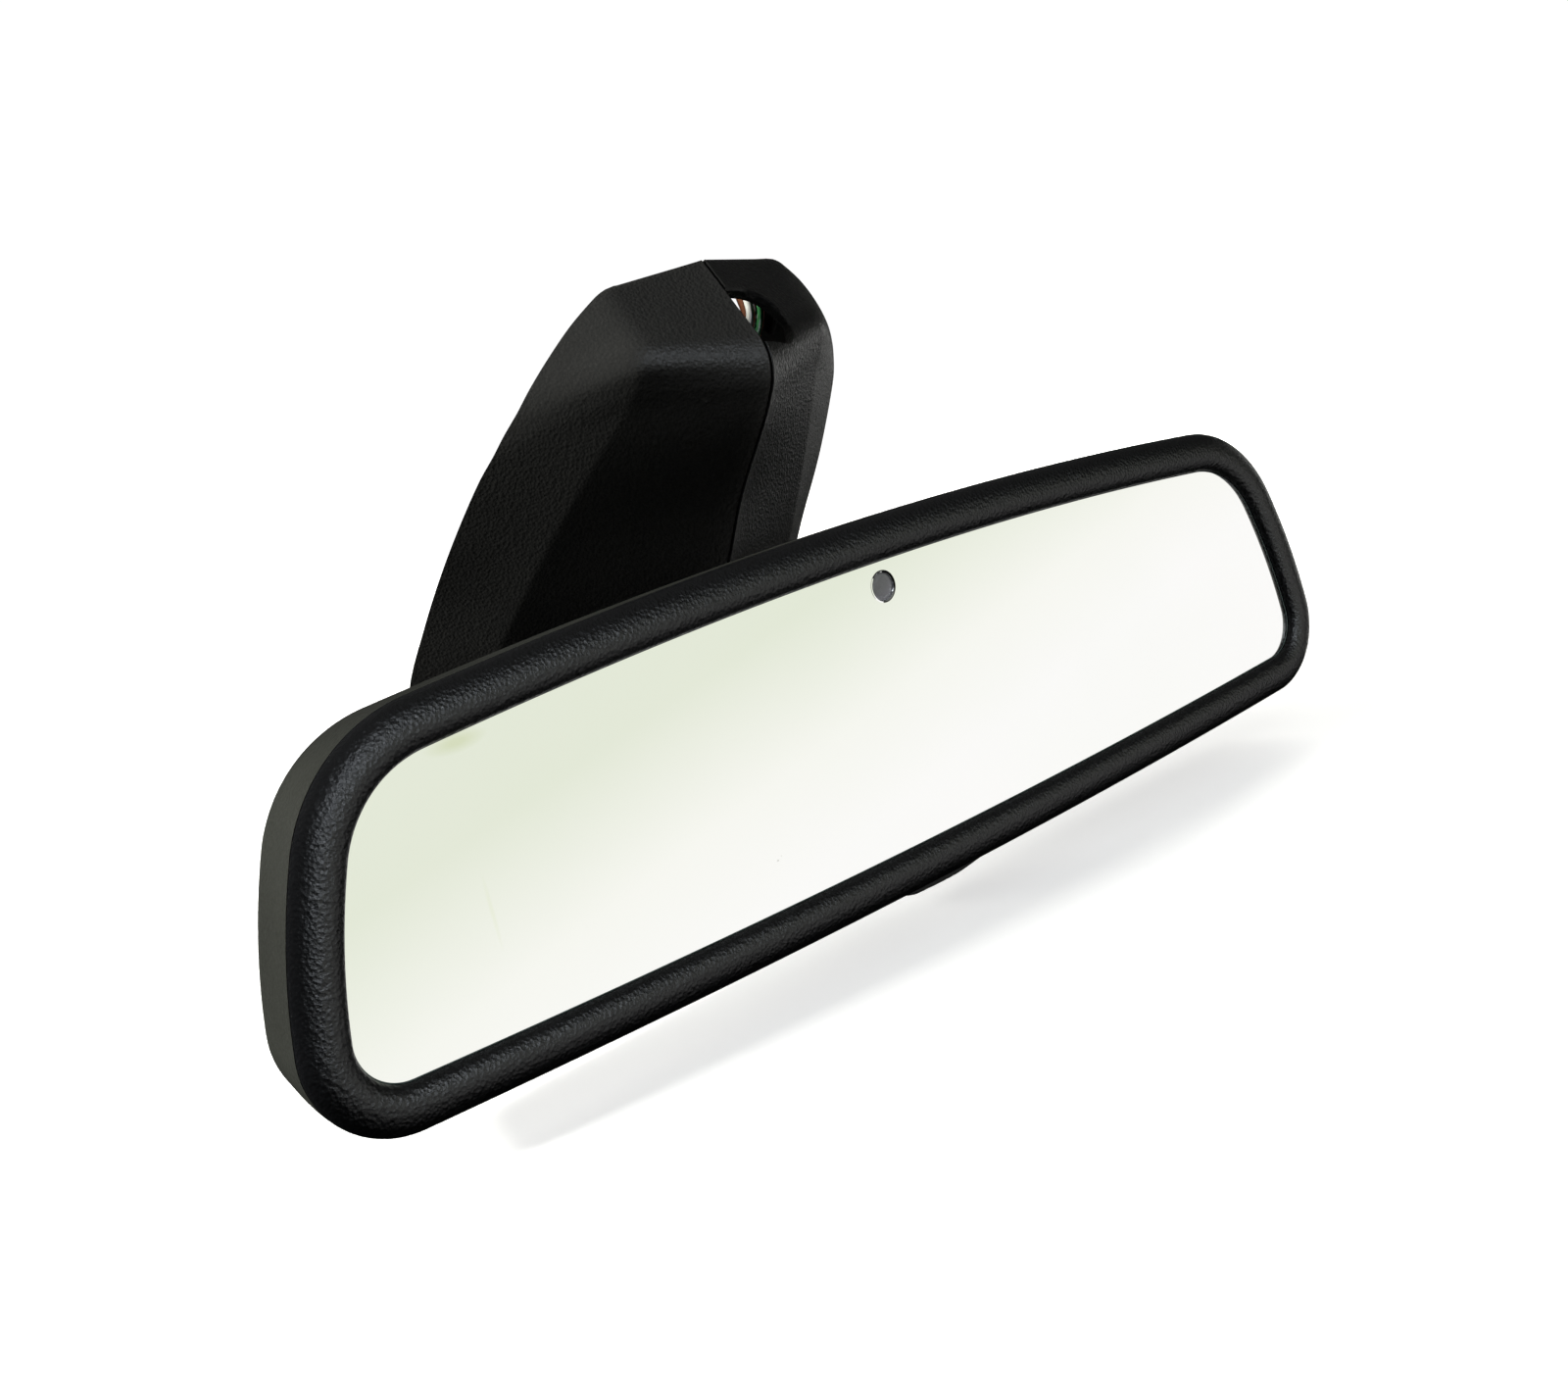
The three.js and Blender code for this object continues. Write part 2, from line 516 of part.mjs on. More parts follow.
// ---- Foot ----
function mountFoot() {
  const ball = arc(BALL.radius, 136, 33.4, 9);
  const flare = { depth: 7.2, mouth: 6.2, bore: 2.8 };
  const profile = [
    [flare.bore, 0], [flare.mouth, -flare.depth], ...ball, [NECK_RADIUS, 12], [7.2, 19], [7.8, 38], [9, 46],
    [14, 55], [14, 58], [3.4, 58], [3.4, 18], [flare.bore, 16], [flare.bore, 0],
  ];
  const stem = solid(turned(lathe(profile, 24), BALL.centre, STEM_AXIS));
  const core = bar(7, 44, 58, BALL.centre, STEM_AXIS);
  const disc = bar(FOOT.radius, -FOOT.thickness, 0, FOOT_CENTRE, SCREEN_NORMAL, 36);
  const socket = bar(FOOT.socketRadius, -FOOT.socketDepth, 2, FOOT_CENTRE, SCREEN_NORMAL, 28);
  const bend = new THREE.SphereGeometry(4.6, 12, 8).translate(...alongStem(41.8).toArray());
  const entry = bar(4, 0, 14, alongStem(42.5), at(0, 0.02, 1).normalize(), 14);
  const rivetHoles = RIVETS.map((spot) => bar(1.3, -7, 0, footPoint(spot.x, spot.z), SCREEN_NORMAL, 10));
  return cut(join(stem, core, disc), socket, solid(bend), entry, ...rivetHoles);
}

const footTurn = new THREE.Quaternion().setFromUnitVectors(Y_AXIS, SCREEN_NORMAL);
const footPoint = (x, z) => at(x, 0, z).applyQuaternion(footTurn).add(FOOT_CENTRE);
const RIVETS = [{ x: -10.1, z: 1.5 }, { x: 10.1, z: 1.5 }];
const SPRING = { inner: 8.4, outer: 11.9, thickness: 0.8, opening: 65 };

// In the foot's own frame, whose y axis leaves through the windscreen
function retainingSpring() {
  const shape = new THREE.Shape();
  const start = THREE.MathUtils.degToRad(-90 + SPRING.opening / 2);
  const end = THREE.MathUtils.degToRad(270 - SPRING.opening / 2);
  shape.absarc(0, 0, SPRING.outer, start, end, false);
  shape.absarc(0, 0, SPRING.inner, end, start, true);
  shape.closePath();
  const back = -FOOT.socketDepth + GAP;
  const settings = { depth: SPRING.thickness, bevelEnabled: false, curveSegments: 12 };
  const blank = new THREE.ExtrudeGeometry(shape, settings);
  blank.rotateX(Math.PI / 2);
  blank.translate(0, back + SPRING.thickness, 0);
  const holes = RIVETS.map(({ x, z }) => bar(1.2, -6, 2, at(x, 0, z), Y_AXIS, 10));
  return cut(solid(blank), ...holes);
}

function rivet() {
  return solid(lathe([[0, -1.6], [0.9, -1.6], [0.9, 1.1 + GAP], [1.7, 1.1 + GAP], [1.3, 1.8], [0, 2]], 10));
}

// ---- Cover ----
// From the top end down: the ridge's y and z, then x, y, z of the crease and of the open rim
const COVER_STATIONS = [
  { ridge: [29.2, 86.0], crease: [19.6, 32.7, 84.5], rim: [20.3, 33.2, 84.6] },
  { ridge: [25.0, 80.2], crease: [21.0, 30.0, 79.8], rim: [27.4, 35.4, 79.5] },
  { ridge: [21.0, 74.6], crease: [21.0, 27.2, 75.6], rim: [32.5, 37.7, 74.6] },
  { ridge: [17.6, 69.8], crease: [21.5, 25.3, 72.4], rim: [36.3, 40.2, 70.1] },
  { ridge: [16.6, 66.0], crease: [22.1, 25.4, 69.4], rim: [38.5, 42.5, 66.7] },
  { ridge: [17.4, 62.2], crease: [22.4, 27.8, 66.0], rim: [40.6, 45.5, 63.3] },
  { ridge: [19.6, 58.8], crease: [23.2, 31.4, 62.4], rim: [42.1, 48.2, 60.3] },
  { ridge: [22.5, 55.2], crease: [26.0, 37.8, 56.5], rim: [44.0, 52.6, 56.2] },
  { ridge: [34.6, 42.0], crease: [31.4, 51.6, 43.8], rim: [47.7, 64.9, 43.9] },
  { ridge: [43.4, 29.6], crease: [35.9, 65.4, 30.4], rim: [50.0, 77.6, 31.0] },
  { ridge: [54.0, 16.6], crease: [39.2, 78.4, 17.6], rim: [51.3, 88.8, 18.6] },
  { ridge: [66.0, 4.4], crease: [39.6, 90.0, 5.0], rim: [48.6, 98.0, 6.8] },
  { ridge: [79.0, -4.6], crease: [34.0, 99.6, -3.6], rim: [41.6, 105.0, -1.4] },
  { ridge: [94.0, -9.6], crease: [21.0, 106.0, -8.4], rim: [26.6, 109.4, -6.6] },
  { ridge: [109.0, -10.4], crease: [5.0, 110.0, -10.0], rim: [6.0, 112.2, -9.4] },
];
const COVER_STEPS = 22;
const HALF_SPLIT = COVER.split / 2;

const coverCurve = (points) => new THREE.CatmullRomCurve3(points, false, 'centripetal');
const RIDGE = coverCurve(COVER_STATIONS.map(({ ridge }) => at(HALF_SPLIT, ...ridge)));
const CREASE = coverCurve(COVER_STATIONS.map(({ crease }) => at(...crease)));
const RIM = coverCurve(COVER_STATIONS.map(({ rim }) => at(...rim)));

// Into the cover from its ridge, square to the ridge
function ridgeInward(t) {
  const tangent = RIDGE.getTangent(THREE.MathUtils.clamp(t, 0.001, 0.999));
  return at(0, -tangent.z, tangent.y).normalize();
}

function coverRing(t, wall) {
  const inward = ridgeInward(t);
  const past = SCREEN_NORMAL.clone().multiplyScalar(wall * 4);
  const ridge = RIDGE.getPoint(t).addScaledVector(inward, wall * 1.1);
  const crease = CREASE.getPoint(t).addScaledVector(inward, wall * 0.85).add(at(-wall * 0.75, 0, 0));
  const edge = RIM.getPoint(t).add(at(-wall * 1.1, 0, 0));
  const rim = edge.clone().add(past);
  ridge.x = wall > 0 ? -1 : HALF_SPLIT;
  const close = at(ridge.x, rim.y, rim.z);
  const ring = [ridge, ridge.clone().lerp(crease, 0.5), crease, crease.clone().lerp(edge, 0.5), edge];
  return wall > 0 ? [...ring, rim, close] : [...ring, close];
}

function coverShell() {
  const steps = Array.from({ length: COVER_STEPS + 1 }, (_, i) => i / COVER_STEPS);
  const outer = loft(steps.map((t) => coverRing(t, 0)));
  const inner = steps.filter((t) => t < 0.97).map((t) => coverRing(t, COVER.wall));
  inner.unshift(inner[0].map((p) => p.clone().addScaledVector(SCREEN_UP, 6)));
  const stemHole = bar(COVER.stemHole, 22, 50, BALL.centre, STEM_AXIS, 24);
  return cut(outer, loft(inner), stemHole);
}

// Snap tongues reach across the split behind the ridge, into the other half
const TONGUE = { across: 15, thick: 1.6, along: 8, overlap: 3, depth: COVER.wall * 1.1 + 4.4 };
const TONGUES_AT = [0.36, 0.55, 0.86]; // shares of the ridge

function tongue(t) {
  const geometry = new THREE.BoxGeometry(TONGUE.across, TONGUE.thick, TONGUE.along);
  geometry.translate(TONGUE.overlap, TONGUE.depth, 0);
  return solid(turned(geometry, RIDGE.getPoint(t), ridgeInward(t)));
}

// The D-shaped outlet for the cable, through the end face's right half
function cableOutlet() {
  const [from, to] = [RIDGE.getPoint(0), RIDGE.getPoint(3 / (COVER_STATIONS.length - 1))];
  const down = to.clone().sub(from).normalize();
  const through = at(0, -down.z, down.y);
  const shape = new THREE.Shape();
  shape.moveTo(-2, 7.6);
  shape.lineTo(2, 7.6);
  shape.bezierCurveTo(8.5, 7.6, 10.8, 10.8, 10.6, 16.6);
  shape.bezierCurveTo(10.6, 19.2, 9.4, 20.6, 6.4, 20.6);
  shape.lineTo(-2, 20.6);
  shape.closePath();
  const geometry = new THREE.ExtrudeGeometry(shape, { depth: 16, bevelEnabled: false, curveSegments: 8 });
  const frame = new THREE.Matrix4().makeBasis(at(1, 0, 0), down, through);
  geometry.applyMatrix4(frame);
  geometry.translate(...from.addScaledVector(through, -6).toArray());
  return solid(geometry);
}

const coverRight = () => cut(coverShell(), cableOutlet());

function coverLeft() {
  const geometry = geometryOf(join(coverShell(), ...TONGUES_AT.map(tongue)));
  geometry.scale(-1, 1, 1);
  return solid(geometry);
}

// The shield between the halves behind the cable outlet, with a leg on each side, in the foot's own frame
function outletShield() {
  const layer = [-4, -2];
  const rightEdge = [[19, 50.5], [19, 45], [31, 45], [30, 50], [26, 55], [21.5, 59], [19, 62]];
  const leftEdge = rightEdge.map(([x, z]) => [-x, z]).reverse();
  const outline = new THREE.Shape([...rightEdge, ...leftEdge].map(([x, z]) => new THREE.Vector2(x, z)));
  const wireNotch = box([8, 15.5], [-6, 0], [56, 70]);
  return cut(plate(outline, layer), wireNotch);
}

// ---- Assembly ----
const mirror = new THREE.Group();
const head = new THREE.Group();
const socket = new THREE.Group();
const foot = new THREE.Group();
const cover = new THREE.Group();
mirror.add(head, socket, foot, cover);
socket.position.copy(BALL.centre);
socket.quaternion.copy(socketTurn);
foot.position.copy(FOOT_CENTRE);
foot.quaternion.copy(footTurn);

function add(group, name, body, material, position) {
  const mesh = new THREE.Mesh(geometryOf(body), material);
  mesh.name = name;
  if (position) mesh.position.copy(position);
  group.add(mesh);
}

add(head, 'front_bezel', frontBezel(), MATERIAL.bezel);
add(head, 'rear_housing', rearHousing(), MATERIAL.housing);
add(head, 'front_glass', headPlate(CELL_OVERLAP, LAYER.frontGlass), MATERIAL.glass);
add(head, 'cell_seal', cellSeal(), MATERIAL.seal);
add(head, 'dimming_gel', headPlate(CELL_OVERLAP - SEAL_WIDTH - GAP, LAYER.cell), MATERIAL.gel);
add(head, 'rear_glass', headPlate(CELL_OVERLAP, LAYER.rearGlass), MATERIAL.mirror);
add(head, 'bus_clip_upper', busClip(1), MATERIAL.steel);
add(head, 'bus_clip_lower', busClip(-1), MATERIAL.steel);
add(head, 'adhesive_pad', adhesivePad(), MATERIAL.foam);
add(head, 'carrier_plate', carrierPlate(), MATERIAL.plastic);
add(head, 'pivot_plate', pivotPlate(), MATERIAL.diecast);
add(head, 'circuit_board', circuitBoard(), MATERIAL.board);
add(head, 'control_chip', chip(63, 8, 12, 12, 1.6), MATERIAL.chip);
add(head, 'driver_chip', chip(74, -7, 8, 6, 1.4), MATERIAL.chip);
add(head, 'capacitor', capacitor(), MATERIAL.can, at(60, ON_BOARD, -9));
add(head, 'board_header', boardHeader(), MATERIAL.connector);
add(head, 'harness_plug', harnessPlug(), MATERIAL.plastic);
add(head, 'glare_light_pipe', glareLightPipe(), MATERIAL.lens, at(0, 0, SENSOR_Z));
add(head, 'glare_sensor', glareSensor(), MATERIAL.sensor);
add(head, 'ambient_sensor', ambientSensor(), MATERIAL.sensor);
add(head, 'ambient_lens', ambientLens(), MATERIAL.lens, at(AMBIENT.x, 0, AMBIENT.z));
PIVOT_SCREWS.forEach(([x, z], i) => {
  const place = at(x, LAYER.pivot[1] + GAP, z);
  add(head, `pivot_screw_${i + 1}`, screw(SCREW.shank, 3.8, SCREW.head), MATERIAL.steel, place);
});
BOARD_SCREWS.forEach(([x, z], i) => {
  const place = at(x, ON_BOARD, z);
  add(head, `board_screw_${i + 1}`, screw(SCREW.shank, 5, SCREW.head), MATERIAL.steel, place);
});
WIRE_COLOURS.forEach((colour, i) => {
  add(head, `head_wire_${colour}`, strand(HEAD_ROUTE, i, 15), MATERIAL[colour]);
});

add(socket, 'seat_front', seatRing(96, 133), MATERIAL.nylon);
add(socket, 'seat_rear', seatRing(62, 78), MATERIAL.nylon);
add(socket, 'socket_retainer', socketRetainer(), MATERIAL.steel);
RETAINER_TURNS.forEach((turn, i) => {
  const place = retainerSpot(turn).setY(RIM_HEIGHT + 2 * GAP + 1.4);
  add(socket, `retainer_screw_${i + 1}`, screw(0.9, 5, 1.5), MATERIAL.steel, place);
});

add(mirror, 'mount_foot', mountFoot(), MATERIAL.diecast);
add(foot, 'retaining_spring', retainingSpring(), MATERIAL.steel);
RIVETS.forEach(({ x, z }, i) => {
  add(foot, `spring_rivet_${i + 1}`, rivet(), MATERIAL.steel, at(x, -FOOT.socketDepth + GAP, z));
});
add(foot, 'outlet_shield', outletShield(), MATERIAL.plastic);
add(cover, 'cover_left', coverLeft(), MATERIAL.cover);
add(cover, 'cover_right', coverRight(), MATERIAL.cover);
WIRE_COLOURS.forEach((colour, i) => {
  add(mirror, `wire_${colour}`, strand(COVER_ROUTE, i, 24), MATERIAL[colour]);
});
add(mirror, 'harness_sleeve', harnessSleeve(), MATERIAL.sleeve);
add(mirror, 'cable_tie', cableTie(), MATERIAL.plastic);

mirror.position.copy(MOUNT_POINT).negate();

const model = new THREE.Group();
model.add(mirror);

export default model;
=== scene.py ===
"""Interior rearview mirror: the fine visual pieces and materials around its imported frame.

Shapes are worked out in millimetres with x across the glass, y away from the driver, z up and the glass's
face at y = 0, and then moved by MOUNT into the frame, which is in metres.
"""

import json
import math

import bmesh
import bpy
import numpy as np
from mathutils import Matrix, Vector


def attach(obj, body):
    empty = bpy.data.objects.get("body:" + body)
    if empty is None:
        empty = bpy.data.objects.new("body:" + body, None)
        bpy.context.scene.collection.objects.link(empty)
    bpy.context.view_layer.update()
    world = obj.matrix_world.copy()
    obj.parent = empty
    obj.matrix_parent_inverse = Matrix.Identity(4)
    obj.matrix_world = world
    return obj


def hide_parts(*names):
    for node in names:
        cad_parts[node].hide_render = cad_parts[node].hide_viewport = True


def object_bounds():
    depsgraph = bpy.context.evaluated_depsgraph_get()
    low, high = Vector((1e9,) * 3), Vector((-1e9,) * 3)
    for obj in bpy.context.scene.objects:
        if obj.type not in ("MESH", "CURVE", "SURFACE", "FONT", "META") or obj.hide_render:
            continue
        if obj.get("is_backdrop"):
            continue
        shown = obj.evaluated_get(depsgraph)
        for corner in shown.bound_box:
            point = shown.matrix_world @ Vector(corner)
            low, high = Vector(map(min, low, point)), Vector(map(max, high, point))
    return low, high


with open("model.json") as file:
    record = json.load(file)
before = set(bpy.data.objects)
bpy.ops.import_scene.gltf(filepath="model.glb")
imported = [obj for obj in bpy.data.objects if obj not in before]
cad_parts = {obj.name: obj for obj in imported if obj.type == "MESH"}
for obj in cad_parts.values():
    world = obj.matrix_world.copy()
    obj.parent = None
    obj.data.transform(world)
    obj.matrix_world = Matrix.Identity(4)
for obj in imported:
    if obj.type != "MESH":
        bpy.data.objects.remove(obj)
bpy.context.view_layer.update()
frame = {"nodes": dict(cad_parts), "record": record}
NODES = frame["nodes"]

# ---- Driving dimensions, in millimetres: the same as the frame's ----
GAP = 0.3
HALF_WIDTH, HALF_HEIGHT = 110, 21.7
TOP_CROWN, BOTTOM_CROWN = 5.7, 2.4
SIDE_LEAN, SIDE_BULGE = -6.1, 2.5
TOP_RADIUS, BOTTOM_RADIUS = 19, 7.7
LIP_WIDTH, LIP_CREST, LIP_PARTING = 7.8, 2.3, 1.0
HOUSING_WALL = 1.8
CHIN_HALF_WIDTH, CHIN_TAPER, CHIN_DROP = 8, 6, 4.3
RAKE = math.radians(50)
BALL_CENTRE = np.array([0, 21.5, 0.0])
BALL_RADIUS = 10
STEM_AXIS = np.array([0, 0.8443, 0.5359])
STEM_AXIS /= np.linalg.norm(STEM_AXIS)
STEM_LENGTH = 64.5
FOOT_RADIUS, FOOT_THICKNESS, SOCKET_RADIUS, SOCKET_DEPTH = 19, 6, 12.5, 3.6
COVER_WALL, HALF_SPLIT = 2.0, 0.15
SENSOR_Z, SENSOR_RADIUS = 22.75, 2.75
SENSOR_SPOT = np.array([0, 0, SENSOR_Z])
WIRE_RADIUS = 0.75

X_AXIS, Y_AXIS, Z_AXIS = np.eye(3)
SCREEN_NORMAL = np.array([0, math.sin(RAKE), math.cos(RAKE)])
SCREEN_UP = np.array([0, -math.cos(RAKE), math.sin(RAKE)])
FOOT_CENTRE = BALL_CENTRE + STEM_AXIS * STEM_LENGTH
MOUNT = FOOT_CENTRE - SCREEN_UP * (FOOT_RADIUS + SOCKET_RADIUS) / 2


def to_frame(points):
    """Points in millimetres, as an (n, 3) array, in the frame's metres."""
    return (np.asarray(points, float).reshape(-1, 3) - MOUNT) / 1000


# ---- Camera: first, so that every later look is through it ----
CAMERA_AZIMUTH, CAMERA_ELEVATION, CAMERA_ROLL = map(math.radians, (-37.45, 10.78, -13.32))
CAMERA_DISTANCE = 278.09
CAMERA_TARGET = np.array([-27.3, 0, 11.11])
CAMERA_LENS = 37.94


def make_camera():
    level = math.cos(CAMERA_ELEVATION)
    back = np.array([
        math.sin(CAMERA_AZIMUTH) * level,
        -math.cos(CAMERA_AZIMUTH) * level,
        math.sin(CAMERA_ELEVATION),
    ])
    right = np.cross(-back, Z_AXIS)
    right /= np.linalg.norm(right)
    up = np.cross(right, -back)
    turned_right = right * math.cos(CAMERA_ROLL) + up * math.sin(CAMERA_ROLL)
    turned_up = up * math.cos(CAMERA_ROLL) - right * math.sin(CAMERA_ROLL)
    data = bpy.data.cameras.new("camera")
    data.lens = CAMERA_LENS
    data.sensor_width = 36
    data.clip_start = 0.01
    data.clip_end = 50
    camera = bpy.data.objects.new("camera", data)
    bpy.context.scene.collection.objects.link(camera)
    rotation = Matrix(np.column_stack([turned_right, turned_up, back]).tolist()).to_4x4()
    place = to_frame(CAMERA_TARGET + back * CAMERA_DISTANCE)[0]
    camera.matrix_world = Matrix.Translation(Vector(place)) @ rotation
    bpy.context.scene.camera = camera


# ---- Materials ----
def scaled(colour, factor):
    return tuple(min(1.0, c * factor) for c in colour) + (1.0,)


def shades(colour, dark, light):
    return scaled(colour, dark), scaled(colour, light)


class Look:
    """A material or world being put together, with short ways to add nodes and join them."""

    def __init__(self, owner, coordinates="Object"):
        owner.use_nodes = True
        self.owner = owner
        self.nodes = owner.node_tree.nodes
        self.links = owner.node_tree.links
        self.where = self.nodes.new("ShaderNodeTexCoord").outputs[coordinates]

    def give(self, node, values):
        """Sets a node's inputs, by name or number, to fixed values or to other nodes' outputs."""
        for key, value in values.items():
            if isinstance(value, bpy.types.NodeSocket):
                self.links.new(value, node.inputs[key])
            else:
                node.inputs[key].default_value = value

    def add(self, kind, values, **settings):
        """Adds a node of a kind, with its own settings and its inputs' values, and returns its outputs."""
        node = self.nodes.new("ShaderNode" + kind)
        for key, value in settings.items():
            setattr(node, key, value)
        self.give(node, values)
        return node.outputs

    def surface(self, values):
        """Sets the surface shader's inputs and returns the finished material."""
        self.give(self.nodes["Principled BSDF"], values)
        return self.owner

    def maths(self, operation, first, second):
        return self.add("Math", {0: first, 1: second}, operation=operation)["Value"]

    def stretched(self, vector, stretch):
        return self.add("VectorMath", {0: vector, 1: stretch}, operation="MULTIPLY")[0]

    def length(self, vector):
        return self.add("VectorMath", {0: vector}, operation="LENGTH")["Value"]

    def noise(self, scale, detail, vector=None):
        """Noise of about scale waves a metre."""
        place = self.where if vector is None else vector
        return self.add("TexNoise", {"Scale": scale, "Detail": detail, "Vector": place})["Fac"]

    def cells(self, size_mm):
        return self.add("TexVoronoi", {"Scale": 1000 / size_mm, "Vector": self.where})["Distance"]

    def remapped(self, value, low, high, start=0.3, end=0.7):
        """Spreads the span from start to end over low to high. Noise mostly lies between 0.3 and 0.7."""
        span = {"From Min": start, "From Max": end, "To Min": low, "To Max": high}
        return self.add("MapRange", {"Value": value, **span})["Result"]

    def uneven(self, scale, detail, low, high):
        """A value that wanders between low and high."""
        return self.remapped(self.noise(scale, detail), low, high)

    def mixed(self, share, first, second):
        return self.add("Mix", {"Factor": share, 6: first, 7: second}, data_type="RGBA")[2]

    def drifting(self, scale, detail, first, second):
        """A colour that wanders between two."""
        return self.mixed(self.uneven(scale, detail, 0, 1), first, second)

    def ramp(self, value, stops):
        """Colours at rising places, blended between."""
        node = self.nodes.new("ShaderNodeValToRGB")
        for _ in stops[2:]:
            node.color_ramp.elements.new(0.5)
        for element, (place, colour) in reversed(list(zip(node.color_ramp.elements, stops))):
            element.position = place
            element.color = colour
        self.give(node, {0: value})
        return node.outputs[0]

    def spot(self, place_mm, stretch, radius_mm):
        """1 inside a small stretched spot round a place, fading to 0 at its edge."""
        moved = self.add("VectorMath", {0: self.where, 1: to_frame(place_mm)[0]}, operation="SUBTRACT")[0]
        away = self.length(self.stretched(moved, stretch))
        return self.remapped(away, 0, 1, radius_mm / 1000, radius_mm / 4000)

    def bumped(self, height, depth_mm, below=None):
        """The normal of a relief of the given depth, on top of the relief below where there is one."""
        values = {"Distance": depth_mm / 1000, "Strength": 1.0, "Height": height}
        if below is not None:
            values["Normal"] = below
        return self.add("Bump", values)["Normal"]


def new_look(name):
    return Look(bpy.data.materials.new(name))


def plastic(name, colour, roughness, grain_mm, depth_mm, specular, marks=()):
    """Moulded plastic: a fine cell grain, uneven gloss, slow colour drift, and nicks where marks says."""
    nick_brightness = 28
    look = new_look(name)
    tint = look.drifting(45, 4, *shades(colour, 0.82, 1.2))
    speck = look.uneven(2600, 1, 0, 1)
    tint = look.mixed(look.maths("MULTIPLY", speck, 0.5), tint, scaled(colour, 1.7))
    for place, stretch, radius in marks:
        tint = look.mixed(look.spot(place, stretch, radius), tint, scaled(colour, nick_brightness))
    coarse = look.bumped(look.cells(grain_mm), depth_mm)
    return look.surface({
        "Base Color": tint,
        "Roughness": look.uneven(1500, 3, roughness - 0.07, roughness + 0.09),
        "Specular IOR Level": specular,
        "Normal": look.bumped(look.noise(5200, 2), depth_mm * 0.6, coarse),
    })


def metal(name, colour, roughness, grain_mm, depth_mm, brushed=(1, 1, 1)):
    """Bare metal: cast skin or, with brushed as a stretch along x, y and z, drawn or rolled lines."""
    look = new_look(name)
    grain = look.noise(1000 / grain_mm, 4, look.stretched(look.where, brushed))
    return look.surface({
        "Base Color": look.drifting(160, 4, *shades(colour, 0.85, 1.12)),
        "Roughness": look.remapped(grain, roughness - 0.08, roughness + 0.12),
        "Metallic": 1.0,
        "Normal": look.bumped(grain, depth_mm),
    })


def mirror_material():
    """Silvered glass: a sharp, faintly green reflection, with the haze of wiping and small marks."""
    look = new_look("mirror_glass")
    tint = look.drifting(14, 3, (0.955, 0.975, 0.94, 1), (0.975, 0.985, 0.965, 1))
    for place, stretch, radius, colour in GLASS_MARKS:
        tint = look.mixed(look.spot(place, stretch, radius), tint, colour)
    return look.surface({
        "Base Color": tint,
        "Metallic": 1.0,
        "Roughness": look.uneven(90, 6, 0.012, 0.05),
        "Coat Weight": 0.15,
        "Coat Roughness": 0.02,
    })


def lens_material(name, inner, outer):
    """What shows behind the clear spot in the silvering: a painted highlight a little off its middle, and
    painted shade darkening it towards the spot's rim.
    """
    highlight_offset = SENSOR_RADIUS * 0.25
    look = new_look(name)
    # Painted highlight: a lighter spot a little off the middle, fading out to painted shade at the rim
    middle = look.spot((highlight_offset, 0, SENSOR_Z - highlight_offset), (1, 1, 1), SENSOR_RADIUS * 1.7)
    ripple = look.maths("MULTIPLY", look.noise(1400, 3), 0.35)
    share = look.maths("ADD", look.maths("MULTIPLY", middle, 0.85), ripple)
    return look.surface({
        "Base Color": look.mixed(share, outer, inner),
        "Roughness": look.uneven(900, 3, 0.12, 0.3),
        "Coat Weight": 0.6,
        "Coat Roughness": 0.03,
    })


def glass_edge_material():
    """The ground edge of the glass: pale teal and slightly frosted."""
    look = new_look("glass_edge")
    return look.surface({
        "Base Color": look.drifting(700, 3, (0.12, 0.19, 0.18, 1), (0.22, 0.31, 0.29, 1)),
        "Roughness": look.uneven(2500, 2, 0.22, 0.4),
    })


def wire_material(name, colour, second=None):
    """Extruded insulation: soft gloss, a faint relief and, where there is one, streaks of a second colour."""
    look = new_look(name)
    tint = look.drifting(320, 3, *shades(colour, 0.7, 1.15))
    if second:
        streaks = look.remapped(look.noise(420, 1), 0, 1, 0.53, 0.57)
        tint = look.mixed(streaks, tint, scaled(second, 1))
    return look.surface({
        "Base Color": tint,
        "Roughness": look.uneven(1200, 3, 0.28, 0.46),
        "Normal": look.bumped(look.noise(3000, 2), 0.02),
    })


def woven_material(name, colour):
    """Braided sleeve: crossing strands as a relief, and two tones that follow it as painted shade, darker in
    the hollows between strands and lighter on their crowns.
    """
    look = new_look(name)
    strands = []
    for direction in ((1, 1, 1), (-1, 1, -1)):
        place = look.stretched(look.where, direction)
        wave = look.add("TexWave", {"Scale": 260, "Vector": place}, bands_direction="DIAGONAL")
        strands.append(wave["Fac"])
    weave = look.maths("MAXIMUM", *strands)
    # Painted shade: the colour follows the weave, darker in the hollows between strands and lighter on their
    # crowns
    return look.surface({
        "Base Color": look.mixed(weave, *shades(colour, 0.5, 1.8)),
        "Roughness": 0.8,
        "Normal": look.bumped(weave, 0.3),
    })


